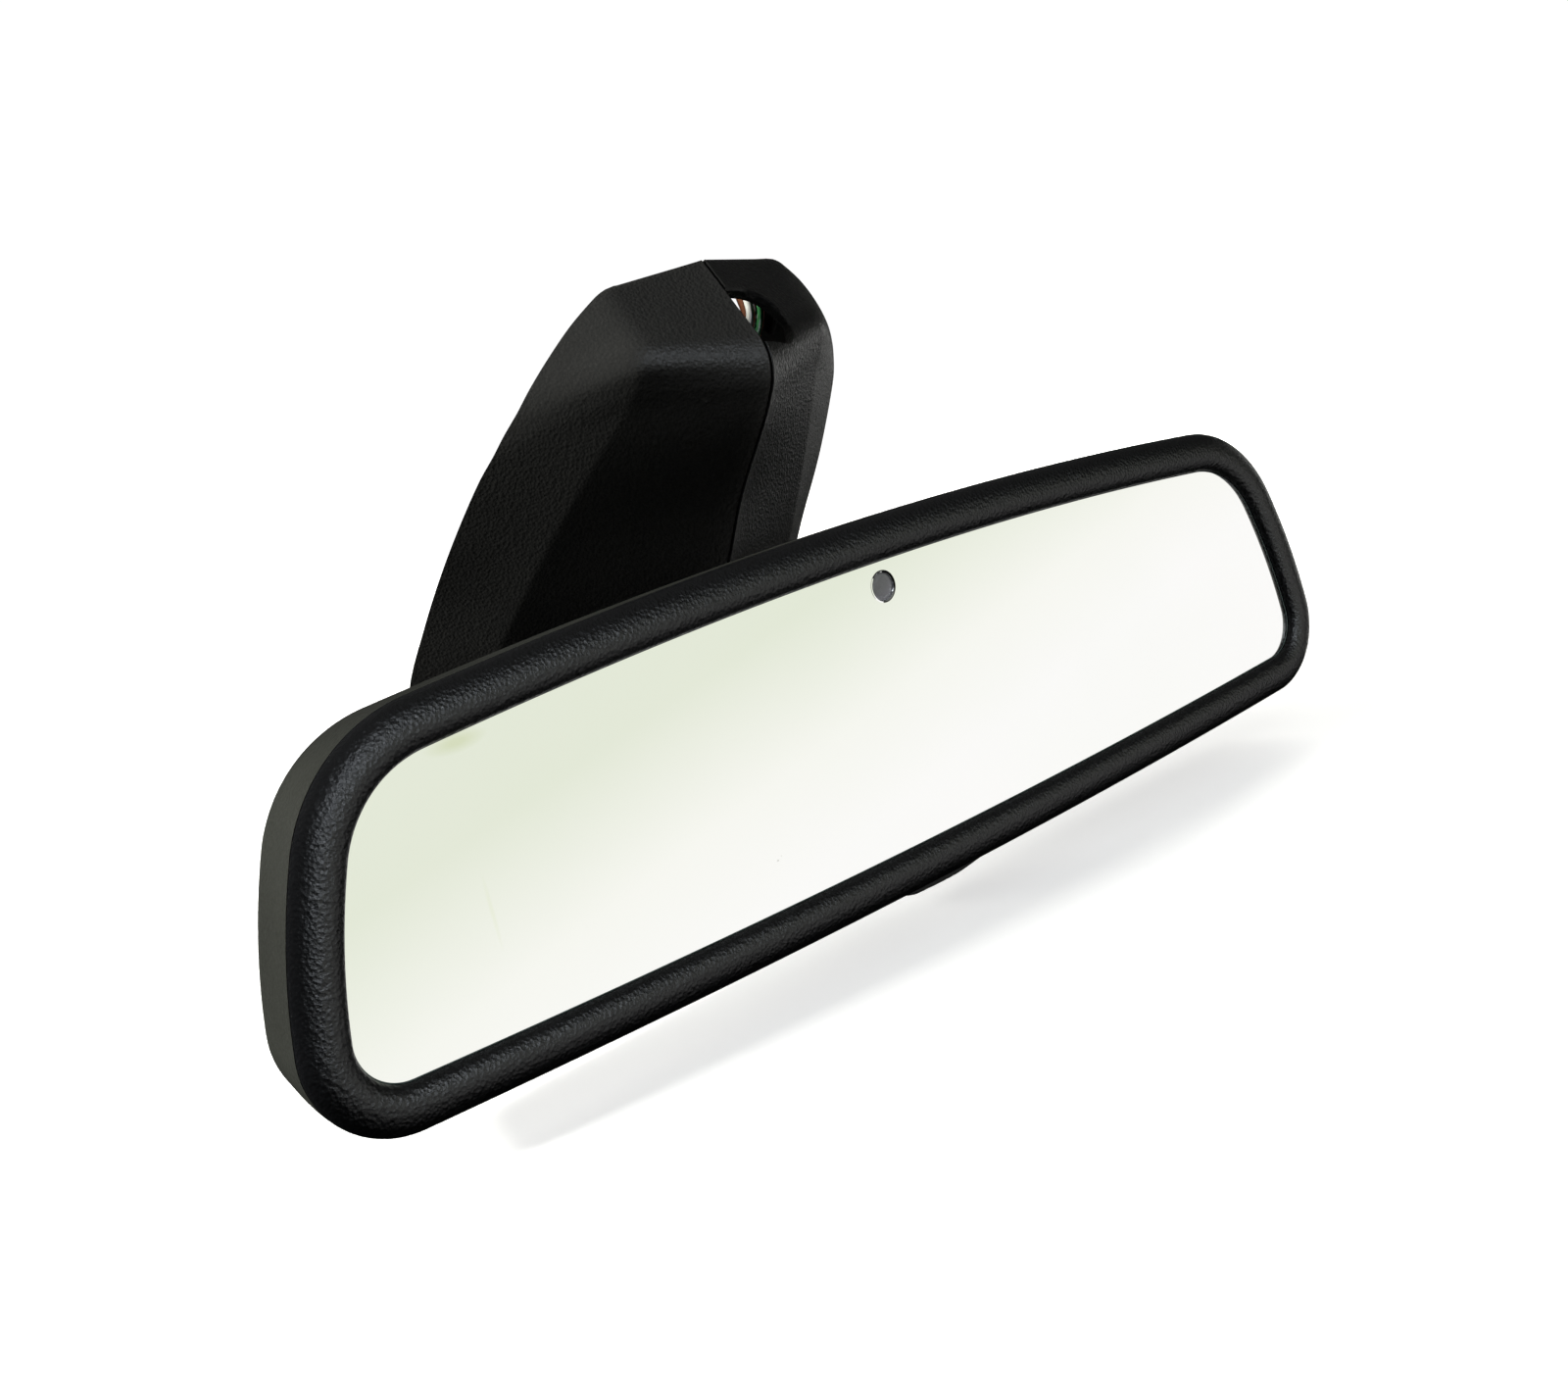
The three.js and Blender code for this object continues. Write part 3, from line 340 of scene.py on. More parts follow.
# Where each mark is, in millimetres, how it is stretched along x, y and z, its radius and its colour
GLASS_MARKS = [
    ((-36.4, 0, -15.3), (1, 1, 1.4), 0.42, (0.30, 0.32, 0.24, 1)),
    ((-35.5, 0, -14.8), (1.2, 1, 1), 0.34, (0.42, 0.44, 0.34, 1)),
    ((-34.4, 0, -14.6), (1, 1, 1.5), 0.30, (0.40, 0.42, 0.33, 1)),
    ((-87.6, 0, 22.4), (0.34, 1, 1.1), 1.9, (0.84, 0.87, 0.72, 1)),
    ((-89.2, 0, -3.6), (2.2, 1, 0.16), 1.1, (0.93, 0.955, 0.87, 1)),
]
BEZEL_MARKS = [
    ((-37.8, -2.2, -27.4), (1.0, 0.3, 2.2), 0.55),
    ((-19.3, -2.2, -28.9), (0.8, 0.3, 2.6), 0.6),
    ((53.5, -2.2, 30.6), (0.5, 0.3, 2.6), 0.75),
    ((9.9, -2.2, 35.0), (0.8, 0.3, 2.4), 0.5),
]
BEZEL_COLOUR = (0.0026, 0.0027, 0.0031)
HOUSING_COLOUR = (0.013, 0.0135, 0.012)
COVER_COLOUR = (0.0150, 0.0150, 0.0145)
WHITE = (1, 1, 1, 1)

# colour, roughness, the grain's size and depth in millimetres, specular level, and any marks
PLASTICS = {
    "bezel_plastic": (BEZEL_COLOUR, 0.36, 0.62, 0.10, 0.46, BEZEL_MARKS),
    "housing_plastic": (HOUSING_COLOUR, 0.50, 0.42, 0.02, 0.2),
    "cover_plastic": (COVER_COLOUR, 0.42, 0.62, 0.09, 0.24),
    "black_plastic": ((0.012, 0.012, 0.012), 0.5, 0.5, 0.01, 0.3),
    "seal": ((0.02, 0.02, 0.02), 0.6, 0.9, 0.02, 0.3),
    "foam": ((0.015, 0.015, 0.015), 0.9, 0.35, 0.08, 0.1),
    "circuit_board": ((0.015, 0.10, 0.035), 0.35, 1.6, 0.01, 0.5),
    "chip": ((0.012, 0.012, 0.013), 0.45, 0.2, 0.006, 0.4),
    "connector": ((0.60, 0.56, 0.45), 0.4, 0.8, 0.006, 0.5),
    "sensor": ((0.02, 0.016, 0.03), 0.2, 0.8, 0.002, 0.5),
    "nylon": ((0.50, 0.47, 0.38), 0.42, 0.7, 0.006, 0.5),
}
# colour, roughness, the grain's size and depth in millimetres, and any stretch of it along x, y and z
METALS = {
    "spring_steel": ((0.42, 0.43, 0.44), 0.3, 0.25, 0.004, (1, 9, 9)),
    "screw_steel": ((0.5, 0.5, 0.48), 0.28, 0.2, 0.003),
    "diecast": ((0.33, 0.335, 0.34), 0.42, 0.45, 0.02),
    "can": ((0.55, 0.56, 0.58), 0.25, 0.3, 0.002, (6, 1, 6)),
}
# colour, and any second colour
WIRES = {
    "red": [(0.30, 0.02, 0.03)],
    "green": [(0.045, 0.20, 0.07), (0.50, 0.56, 0.50)],
    "white": [(0.52, 0.52, 0.48)],
    "brown": [(0.16, 0.06, 0.03)],
    "orange": [(0.55, 0.20, 0.07)],
}
MATERIALS = {name: plastic(name, *values) for name, values in PLASTICS.items()}
MATERIALS |= {name: metal(name, *values) for name, values in METALS.items()}
MATERIALS |= {f"wire_{name}": wire_material(f"wire_{name}", *colours) for name, colours in WIRES.items()}
MATERIALS |= {
    "clear_glass": glass_edge_material(),
    "mirror_glass": mirror_material(),
    "gel": lens_material("gel", (0.55, 0.68, 0.58, 1), (0.40, 0.55, 0.45, 1)),
    "lens": lens_material("lens", (0.86, 0.87, 0.96, 1), (0.32, 0.31, 0.37, 1)),
    "sleeve": woven_material("sleeve", (0.012, 0.012, 0.012)),
}


# ---- Mesh helpers ----
UNCUT_LIMIT, CUT_LIMIT = 40, 35  # degrees between two faces, from which the edge between them is sharp


def new_object(name, points, faces):
    """A mesh object from points in millimetres, with its faces turned outwards."""
    mesh = bpy.data.meshes.new(name)
    mesh.from_pydata(to_frame(points).tolist(), [], faces)
    made = bpy.data.objects.new(name, mesh)
    bpy.context.scene.collection.objects.link(made)
    face_outwards(made)
    shade(made, UNCUT_LIMIT)
    return made


def face_outwards(made):
    same_place = 1e-7
    bm = bmesh.new()
    bm.from_mesh(made.data)
    bmesh.ops.remove_doubles(bm, verts=bm.verts, dist=same_place)
    bmesh.ops.recalc_face_normals(bm, faces=bm.faces)
    bm.to_mesh(made.data)
    bm.free()


def shade(made, smooth_below=CUT_LIMIT):
    """Smooth shading, except over the edges where two faces meet more sharply."""
    bm = bmesh.new()
    bm.from_mesh(made.data)
    limit = math.radians(smooth_below)
    for face in bm.faces:
        face.smooth = True
    for edge in bm.edges:
        edge.smooth = len(edge.link_faces) == 2 and edge.calc_face_angle(0) < limit
    bm.to_mesh(made.data)
    bm.free()


def apply_modifiers(made):
    graph = bpy.context.evaluated_depsgraph_get()
    mesh = bpy.data.meshes.new_from_object(made.evaluated_get(graph))
    made.modifiers.clear()
    made.data = mesh


def combine(made, tool, operation="DIFFERENCE"):
    """Cuts tool out of made, or joins it on, and removes tool."""
    modifier = made.modifiers.new("combine", "BOOLEAN")
    modifier.operation = operation
    modifier.solver = "MANIFOLD"
    modifier.object = tool
    apply_modifiers(made)
    bpy.data.objects.remove(tool)


def skin(name, rings, loop=False):
    """A closed skin over rings of as many points each, with end faces unless they close into a loop."""
    rings = np.asarray(rings, float)
    count, size = rings.shape[:2]
    faces = []
    for r in range(count if loop else count - 1):
        a, b = r * size, ((r + 1) % count) * size
        faces += [(a + i, a + (i + 1) % size, b + (i + 1) % size, b + i) for i in range(size)]
    if not loop:
        faces.append(tuple(range(size))[::-1])
        faces.append(tuple(range((count - 1) * size, count * size)))
    return new_object(name, rings, faces)


def basis_to(axis):
    """Columns u, axis, v: a turned frame whose y axis is axis, as a lathe's."""
    axis = np.asarray(axis, float) / np.linalg.norm(axis)
    helper = X_AXIS if abs(axis[0]) < 0.9 else Y_AXIS
    u = np.cross(axis, np.cross(helper, axis))
    u /= np.linalg.norm(u)
    return np.column_stack([u, axis, np.cross(u, axis)])


def turn(name, profile, origin, axis, segments):
    """A body of revolution about an axis through origin, from a profile of (radius, height)."""
    frame_of = basis_to(axis)
    angles = np.linspace(0, 2 * math.pi, segments, endpoint=False)
    rings = [
        [origin + frame_of @ np.array([r * math.cos(a), h, r * math.sin(a)]) for a in angles]
        for r, h in profile
    ]
    return skin(name, rings, loop=profile[0] == profile[-1])


def finish(made, body, slot, node=None):
    """Gives a piece its material, body and slot, and hides the frame's node that it stands for."""
    made.data.materials.clear()
    made.data.materials.append(MATERIALS[slot])
    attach(made, body)
    if node:
        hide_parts(node)


def smooth_curve(knots, count):
    """A centripetal Catmull-Rom curve through knots, with count points at even steps from knot to knot."""
    knots = np.asarray(knots, float)
    before, after = 2 * knots[0] - knots[1], 2 * knots[-1] - knots[-2]
    padded = np.vstack([before, knots, after])
    return np.array([curve_point(padded, t) for t in np.linspace(0, 1, count)])


def curve_point(padded, t):
    """The point at share t of a centripetal Catmull-Rom curve, whose knots have one more at either end."""
    last = len(padded) - 4
    place = t * (last + 1)
    index = min(int(place), last)
    share = place - index
    p0, p1, p2, p3 = padded[index : index + 4]
    d0, d1, d2 = (max(np.linalg.norm(q - p), 1e-6) ** 0.5 for p, q in ((p0, p1), (p1, p2), (p2, p3)))
    m1 = ((p1 - p0) / d0 - (p2 - p0) / (d0 + d1) + (p2 - p1) / d1) * d1
    m2 = ((p2 - p1) / d1 - (p3 - p1) / (d1 + d2) + (p3 - p2) / d2) * d1
    square, cube = share**2, share**3
    return (
        p1
        + m1 * share
        + (3 * (p2 - p1) - 2 * m1 - m2) * square
        + (2 * (p1 - p2) + m1 + m2) * cube
    )


# ---- The head's outline, and rings offset from it ----
def slope(curve, value):
    step = 0.01
    return (curve(value + step) - curve(value - step)) / (2 * step)


def top_edge(x):
    return HALF_HEIGHT + TOP_CROWN * (1 - (x / HALF_WIDTH) ** 2)


def bottom_edge(x):
    return -HALF_HEIGHT - BOTTOM_CROWN * (1 - (x / HALF_WIDTH) ** 2)


def side_edge(z):
    return HALF_WIDTH + SIDE_LEAN * z / HALF_HEIGHT + SIDE_BULGE * (1 - (z / HALF_HEIGHT) ** 2)


def corner(radius, edge, sign):
    """The arc that meets the side and the top (sign 1) or bottom (sign -1): centre, radius, end angles."""
    x, z = HALF_WIDTH - radius, sign * (HALF_HEIGHT - radius)
    edge_angle, side_angle = sign * math.pi / 2, 0
    for _ in range(40):
        edge_angle = math.atan2(sign, -sign * slope(edge, x + radius * math.cos(edge_angle)))
        side_angle = math.atan2(-slope(side_edge, z + radius * math.sin(side_angle)), 1)
        z = edge(x + radius * math.cos(edge_angle)) - radius * math.sin(edge_angle)
        x = side_edge(z + radius * math.sin(side_angle)) - radius * math.cos(side_angle)
    return x, z, radius, edge_angle, side_angle


def glass_outline():
    """Points (x, z) round the glass opening, clockwise from the top middle, and their outward normals."""
    upper, lower = corner(TOP_RADIUS, top_edge, 1), corner(BOTTOM_RADIUS, bottom_edge, -1)

    def on_arc(c, angle):
        return c[0] + c[2] * math.cos(angle), c[1] + c[2] * math.sin(angle)

    def stretch(count, start, end):
        return np.linspace(start, end, count, endpoint=False)

    half = [(x, top_edge(x)) for x in stretch(64, 0, on_arc(upper, upper[3])[0])]
    half += [on_arc(upper, angle) for angle in stretch(34, upper[3], upper[4])]
    sides = stretch(18, on_arc(upper, upper[4])[1], on_arc(lower, lower[4])[1])
    half += [(side_edge(z), z) for z in sides]
    half += [on_arc(lower, angle) for angle in stretch(24, lower[4], lower[3])]
    half += [(x, bottom_edge(x)) for x in stretch(72, on_arc(lower, lower[3])[0], 0)]
    half.append((0, bottom_edge(0)))
    points = np.array(half + [(-x, z) for x, z in half[1:-1][::-1]])
    along = np.roll(points, -1, axis=0) - np.roll(points, 1, axis=0)
    normals = np.column_stack([-along[:, 1], along[:, 0]])
    return points, normals / np.linalg.norm(normals, axis=1)[:, None]


OUTLINE, OUTLINE_NORMALS = glass_outline()


def chin_drop(x):
    share = np.clip((CHIN_HALF_WIDTH - np.abs(x) + CHIN_TAPER) / (2 * CHIN_TAPER), 0, 1)
    return CHIN_DROP * share**2 * (3 - 2 * share)


def head_ring(y, offset, sx=1.0, sz=1.0, chin=0.0):
    """The outline moved out by offset, scaled, and let down under the middle by the share chin."""
    moved = OUTLINE + OUTLINE_NORMALS * offset
    x = moved[:, 0] * sx
    drop = np.where(OUTLINE_NORMALS[:, 1] < -0.5, chin * chin_drop(x), 0)
    return np.column_stack([x, np.full(len(x), y), moved[:, 1] * sz - drop])


# ---- Mirror head ----
def build_bezel():
    flange_inner, flange_outer, flange_depth = 4.0, 5.0, 6.0
    edge, crest_roundness = 0.18, 0.92
    lip = []
    for angle in np.linspace(0, math.pi, 34):
        across = (1 - math.cos(angle)) / 2
        crest = LIP_CREST * math.sin(angle) ** crest_roundness
        lip.append((LIP_WIDTH * across, LIP_PARTING * across**2 - crest))
    section = [(edge, edge * 0.9), *lip, (LIP_WIDTH - edge, LIP_PARTING + edge * 0.9)]
    section += [(flange_outer, LIP_PARTING + edge), (flange_outer, flange_depth)]
    section += [(flange_inner, flange_depth), (flange_inner, edge)]
    made = skin("front_bezel_moulding", [head_ring(y, offset) for offset, y in section], loop=True)
    finish(made, "head", "bezel_plastic", "front_bezel")


# y, offset, x scale, z scale and share of the chin, from the parting line to the back
HOUSING_SECTIONS = [
    (LIP_PARTING + GAP, 7.8, 1, 1, 0.25),
    (4, 7.6, 1, 1, 0.55),
    (8, 7.1, 1, 1, 1),
    (13, 6.3, 1, 1, 0.9),
    (17.6, 5.4, 1, 1, 0.5),
    (19.8, 4.0, 1, 1, 0.3),
    (21.6, 0.2, 1, 1, 0.1),
    (22.8, -5, 0.93, 0.98, 0),
    (24.4, -5, 0.73, 0.96, 0),
    (28.4, -5, 0.52, 0.93, 0),
    (32.6, -5, 0.4, 0.88, 0),
    (34.7, -5, 0.345, 0.81, 0),
    (35.5, -5, 0.3, 0.7, 0),
]
AMBIENT_X, AMBIENT_Z, AMBIENT_RADIUS = 84, 6, 3


def housing_rings(wall):
    """Smooth rings between the housing's sections, or inside them by a wall's thickness."""
    sections = np.array(HOUSING_SECTIONS, float)
    if wall:
        side_until, back_from = 15, 22
        depth = np.clip((sections[:, 0] - side_until) / (back_from - side_until), 0, 1)
        sections[:, 0] -= wall * depth**2 * (3 - 2 * depth)
        sections[:, 1] -= wall
        sections[0, 0] = 0
    fine = smooth_curve(sections, 62)
    return [head_ring(y, offset, sx, sz, max(chin, 0)) for y, offset, sx, sz, chin in fine]


def build_housing():
    made = skin("rear_housing_shell", housing_rings(0))
    combine(made, skin("inside", housing_rings(HOUSING_WALL)))
    flare = [(14.4, 2), (21, 40)]
    combine(made, turn("stem_opening", flare, BALL_CENTRE, STEM_AXIS, 96))
    lens_hole = [(AMBIENT_RADIUS + GAP, 0), (AMBIENT_RADIUS + GAP, 20)]
    combine(made, turn("lens_hole", lens_hole, np.array([AMBIENT_X, 15, AMBIENT_Z]), Y_AXIS, 48))
    shade(made)
    finish(made, "head", "housing_plastic", "rear_housing")


def build_glass():
    """The silvered pane, its ground edge under the lip, and the clear spot with its lens behind."""
    face_y, bevel, overlap, back_y = 0.28, 0.3, 1.6, 2.1
    rings = [head_ring(back_y, overlap), head_ring(face_y + bevel, overlap)]
    rings.append(head_ring(face_y, overlap - bevel))
    pane = skin("mirror_pane", rings)
    hole = [(SENSOR_RADIUS, -2), (SENSOR_RADIUS, 5)]
    combine(pane, turn("clear_spot", hole, SENSOR_SPOT, Y_AXIS, 72))
    shade(pane, 20)
    finish(pane, "head", "mirror_glass", "front_glass")
    section = [(-0.02, -0.22), (-0.08, -0.08), (-0.02, 0.1), (0.1, 0.1), (0.1, -0.22)]
    edge_rings = [head_ring(face_y + y, offset) for y, offset in section]
    finish(skin("glass_polished_edge", edge_rings, loop=True), "head", "clear_glass")
    halo = [(-0.24, 0.34), (-0.04, 0.16), (0.16, 0.23), (0.16, 0.5), (-0.24, 0.5), (-0.24, 0.34)]
    halo = [(SENSOR_RADIUS + r, y) for r, y in halo]
    finish(turn("clear_spot_rim", halo, SENSOR_SPOT, Y_AXIS, 72), "head", "mirror_glass")
    lens_radius = SENSOR_RADIUS - 0.1
    dome = [(0.02, 0.36), (0.8, 0.37), (1.6, 0.42), (2.3, 0.52), (lens_radius, 0.62), (lens_radius, 2.2)]
    finish(turn("clear_spot_lens", dome, SENSOR_SPOT, Y_AXIS, 72), "head", "lens")


def build_socket():
    """The pressed ring that holds the ball, and the lens of the forward sensor."""
    inner, outer = 11.6, 12.8
    flange_inner, flange_outer, flange_low, flange_high, edge = 13.4, 16.2, 0.6, 2.0, 0.2

    def arc(radius, start, end):
        angles = np.radians(np.linspace(start, end, 12))
        return [(radius * math.sin(a), radius * math.cos(a)) for a in angles]

    flange = [
        (flange_outer - edge, flange_low),
        (flange_outer, flange_low + edge),
        (flange_outer, flange_high - edge),
        (flange_outer - edge, flange_high),
        (flange_inner, flange_high),
    ]
    profile = [*arc(inner, 64, 87), *flange, *arc(outer, 80, 65)]
    made = turn("socket_retainer_ring", [*profile, profile[0]], BALL_CENTRE, STEM_AXIS, 96)
    finish(made, "head", "spring_steel", "socket_retainer")
    r = AMBIENT_RADIUS
    dome = [
        (0.02, 14.2), (r - 0.8, 14.2), (r - 0.8, 19), (r, 19.4), (r, 23.3), (r - 0.2, 23.8), (r * 0.6, 24.2),
        (r * 0.3, 24.35), (0.02, 24.4),
    ]
    place = np.array([AMBIENT_X, 0, AMBIENT_Z])
    finish(turn("forward_sensor_lens", dome, place, Y_AXIS, 64), "head", "lens", "ambient_lens")


# ---- Cover ----
# From the top end down: the ridge's y and z, then x, y, z of the crease and of the open rim
COVER_STATIONS = [
    ((29.2, 86.0), (19.6, 32.7, 84.5), (20.3, 33.2, 84.6)),
    ((25.0, 80.2), (21.0, 30.0, 79.8), (27.4, 35.4, 79.5)),
    ((21.0, 74.6), (21.0, 27.2, 75.6), (32.5, 37.7, 74.6)),
    ((17.6, 69.8), (21.5, 25.3, 72.4), (36.3, 40.2, 70.1)),
    ((16.6, 66.0), (22.1, 25.4, 69.4), (38.5, 42.5, 66.7)),
    ((17.4, 62.2), (22.4, 27.8, 66.0), (40.6, 45.5, 63.3)),
    ((19.6, 58.8), (23.2, 31.4, 62.4), (42.1, 48.2, 60.3)),
    ((22.5, 55.2), (26.0, 37.8, 56.5), (44.0, 52.6, 56.2)),
    ((34.6, 42.0), (31.4, 51.6, 43.8), (47.7, 64.9, 43.9)),
    ((43.4, 29.6), (35.9, 65.4, 30.4), (50.0, 77.6, 31.0)),
    ((54.0, 16.6), (39.2, 78.4, 17.6), (51.3, 88.8, 18.6)),
    ((66.0, 4.4), (39.6, 90.0, 5.0), (48.6, 98.0, 6.8)),
    ((79.0, -4.6), (34.0, 99.6, -3.6), (41.6, 105.0, -1.4)),
    ((94.0, -9.6), (21.0, 106.0, -8.4), (26.6, 109.4, -6.6)),
    ((109.0, -10.4), (5.0, 110.0, -10.0), (6.0, 112.2, -9.4)),
]
COVER_STEPS = 220
CORNER_RADIUS = 2.2  # of the two outer corners at the cover's top
TONGUES_AT = (0.36, 0.55, 0.86)  # shares of the way down the split
TONGUE_SIZE, TONGUE_INSET = (15, 1.6, 8), 4.4
COVER_SHARES = np.linspace(0, 1, COVER_STEPS)
RIDGE = smooth_curve([(HALF_SPLIT, *ridge) for ridge, _, _ in COVER_STATIONS], COVER_STEPS)
CREASE = smooth_curve([crease for _, crease, _ in COVER_STATIONS], COVER_STEPS)
RIM = smooth_curve([rim for _, _, rim in COVER_STATIONS], COVER_STEPS)
RIDGE_TANGENT = np.gradient(RIDGE, axis=0)
INWARD = np.column_stack([np.zeros(COVER_STEPS), -RIDGE_TANGENT[:, 2], RIDGE_TANGENT[:, 1]])
INWARD /= np.linalg.norm(INWARD, axis=1)[:, None]
FROM_TOP = np.concatenate([[0], np.cumsum(np.linalg.norm(np.diff(RIDGE, axis=0), axis=1))])
NARROWED = CORNER_RADIUS * (1 - np.sqrt(1 - np.clip(1 - FROM_TOP / CORNER_RADIUS, 0, 1) ** 2))


def rounded_bend(start, bend, end, radius):
    """Points of a smooth turn at bend, between start and end, that begins about radius away from it."""
    longest_share, tiny = 0.45, 1e-6
    back, ahead = start - bend, end - bend
    first = bend + back * min(1, radius / np.linalg.norm(back)) * 0.95
    last = bend + ahead * min(longest_share, radius / max(np.linalg.norm(ahead), tiny))
    shares = np.linspace(0, 1, 7)[:, None]
    return (1 - shares) ** 2 * first + 2 * shares * (1 - shares) * bend + shares**2 * last


def cover_section(i, wall, radius):
    """One ring round the cover's half: split, ridge, crease and rim, closed on the windscreen's side."""
    inward = INWARD[i]
    # The faces lean, so that moving in by a wall takes a little more or less than the wall each way
    ridge = RIDGE[i] + inward * wall * 1.1
    crease = CREASE[i] + inward * wall * 0.85 - X_AXIS * (wall * 0.75 + NARROWED[i])
    edge = RIM[i] - X_AXIS * (wall * 1.1 + NARROWED[i])
    ridge[0] = -1.0 if wall else HALF_SPLIT
    bend = rounded_bend(ridge, crease, edge, radius)
    front = [ridge + (bend[0] - ridge) * share for share in np.linspace(0.05, 0.95, 12)]
    side = [bend[-1] + (edge - bend[-1]) * share for share in np.linspace(0.12, 1, 8)]
    if wall:
        lead = [ridge, ridge + X_AXIS * 0.1]
        past = edge + SCREEN_NORMAL * wall * 4
        tail = [past, np.array([ridge[0], *past[1:]])]
    else:
        soft = 0.32
        lead = [ridge + inward * soft, ridge + (inward + X_AXIS) * soft * 0.3, ridge + X_AXIS * soft]
        at_split = np.array([HALF_SPLIT, *edge[1:]])
        tail = [at_split, (at_split + lead[0]) / 2]
    return np.array([*lead, *front, *bend, *side, *tail])


def crease_radius(share, sharp, soft):
    """Soft where the end face meets the side, sharper from there down."""
    soft_until, sharp_from = 0.22, 0.34
    blend = np.clip((share - soft_until) / (sharp_from - soft_until), 0, 1)
    return soft + (sharp - soft) * blend


def cover_half(name, sharp, soft):
    """The half on the side of positive x: its outside less its inside and the stem's way in."""
    inside_radius, inside_count, past_top = 1.5, int(0.97 * COVER_STEPS), 6
    outer = [cover_section(i, 0, crease_radius(s, sharp, soft)) for i, s in enumerate(COVER_SHARES)]
    inner = [cover_section(i, COVER_WALL, inside_radius) for i in range(inside_count)]
    inner.insert(0, inner[0] + SCREEN_UP * past_top)
    made = skin(name, outer)
    combine(made, skin("inside", inner))
    stem_hole = [(9.5, 22), (9.5, 50)]
    combine(made, turn("stem_hole", stem_hole, BALL_CENTRE, STEM_AXIS, 64))
    return made


def cable_outlet():
    """The D-shaped hole through the end face, with a small chamfer round its outer edge."""
    start = RIDGE[0]
    station = int(2 / (len(COVER_STATIONS) - 1) * COVER_STEPS)
    down = RIDGE[station] - start
    down /= np.linalg.norm(down)
    across = CREASE[station] - RIDGE[station]
    across -= down * (across @ down)
    across /= np.linalg.norm(across)
    through = np.cross(across, down)
    through *= np.sign(through[1])
    chamfer = 0.35

    def outline(grow):
        top, bottom, right = 7.6 - grow, 20.6 + grow, 10.6 + grow
        upper = bezier((2, top), (8.5, top), (right + 0.2, 10.8), (right, 16.6), 14)
        lower = bezier((right, 16.6), (right, 19.2), (9.4, bottom), (6.4, bottom), 10)
        return [(-2, top), *upper, *lower[1:], (-2, bottom)]

    rings = []
    for depth, grow in ((-6, chamfer), (0, chamfer), (chamfer * 1.2, 0), (9, 0)):
        rings.append([start + across * u + down * v + through * depth for u, v in outline(grow)])
    return skin("outlet", rings)


def bezier(p0, p1, p2, p3, steps):
    p0, p1, p2, p3 = map(np.array, (p0, p1, p2, p3))
    return [
        tuple((1 - t) ** 3 * p0 + 3 * (1 - t) ** 2 * t * p1 + 3 * (1 - t) * t**2 * p2 + t**3 * p3)
        for t in np.linspace(0, 1, steps)
    ]


def rounded_box(name, centre, axes, sizes, radius=0.3):
    """A box with softened edges: axes are its three directions as rows, sizes its full lengths."""
    made = new_object(name, *box_faces(centre, axes, sizes))
    modifier = made.modifiers.new("soften", "BEVEL")
    modifier.width = radius / 1000
    modifier.segments = 3
    apply_modifiers(made)
    shade(made, UNCUT_LIMIT)
    return made


def box_faces(centre, axes, sizes):
    corners = [(x, y, z) for x in (-0.5, 0.5) for y in (-0.5, 0.5) for z in (-0.5, 0.5)]
    points = [centre + sum(a * s * k for a, s, k in zip(axes, sizes, c)) for c in corners]
    faces = [(0, 1, 3, 2), (4, 6, 7, 5), (0, 4, 5, 1), (2, 3, 7, 6), (0, 2, 6, 4), (1, 5, 7, 3)]
    return points, faces


def mirrored(made):
    """The same piece on the other side of x = 0."""
    for vertex in made.data.vertices:
        vertex.co.x = -vertex.co.x
    made.data.flip_normals()
    return made


def add_tongues(made):
    """The tongues that reach from one half under the other."""
    for share in TONGUES_AT:
        i = int(share * (COVER_STEPS - 1))
        along = RIDGE_TANGENT[i] / np.linalg.norm(RIDGE_TANGENT[i])
        centre = RIDGE[i] + INWARD[i] * (COVER_WALL * 1.1 + TONGUE_INSET) + X_AXIS * 3
        combine(made, rounded_box("tongue", centre, (X_AXIS, INWARD[i], along), TONGUE_SIZE), "UNION")


def build_covers():
    right = cover_half("cover_right_shell", 1.0, 4.2)
    combine(right, cable_outlet())
    shade(right)
    finish(right, "root", "cover_plastic", "cover_right")
    left = cover_half("cover_left_shell", 0.9, 2.6)
    add_tongues(left)
    mirrored(left)
    shade(left)
    finish(left, "root", "cover_plastic", "cover_left")


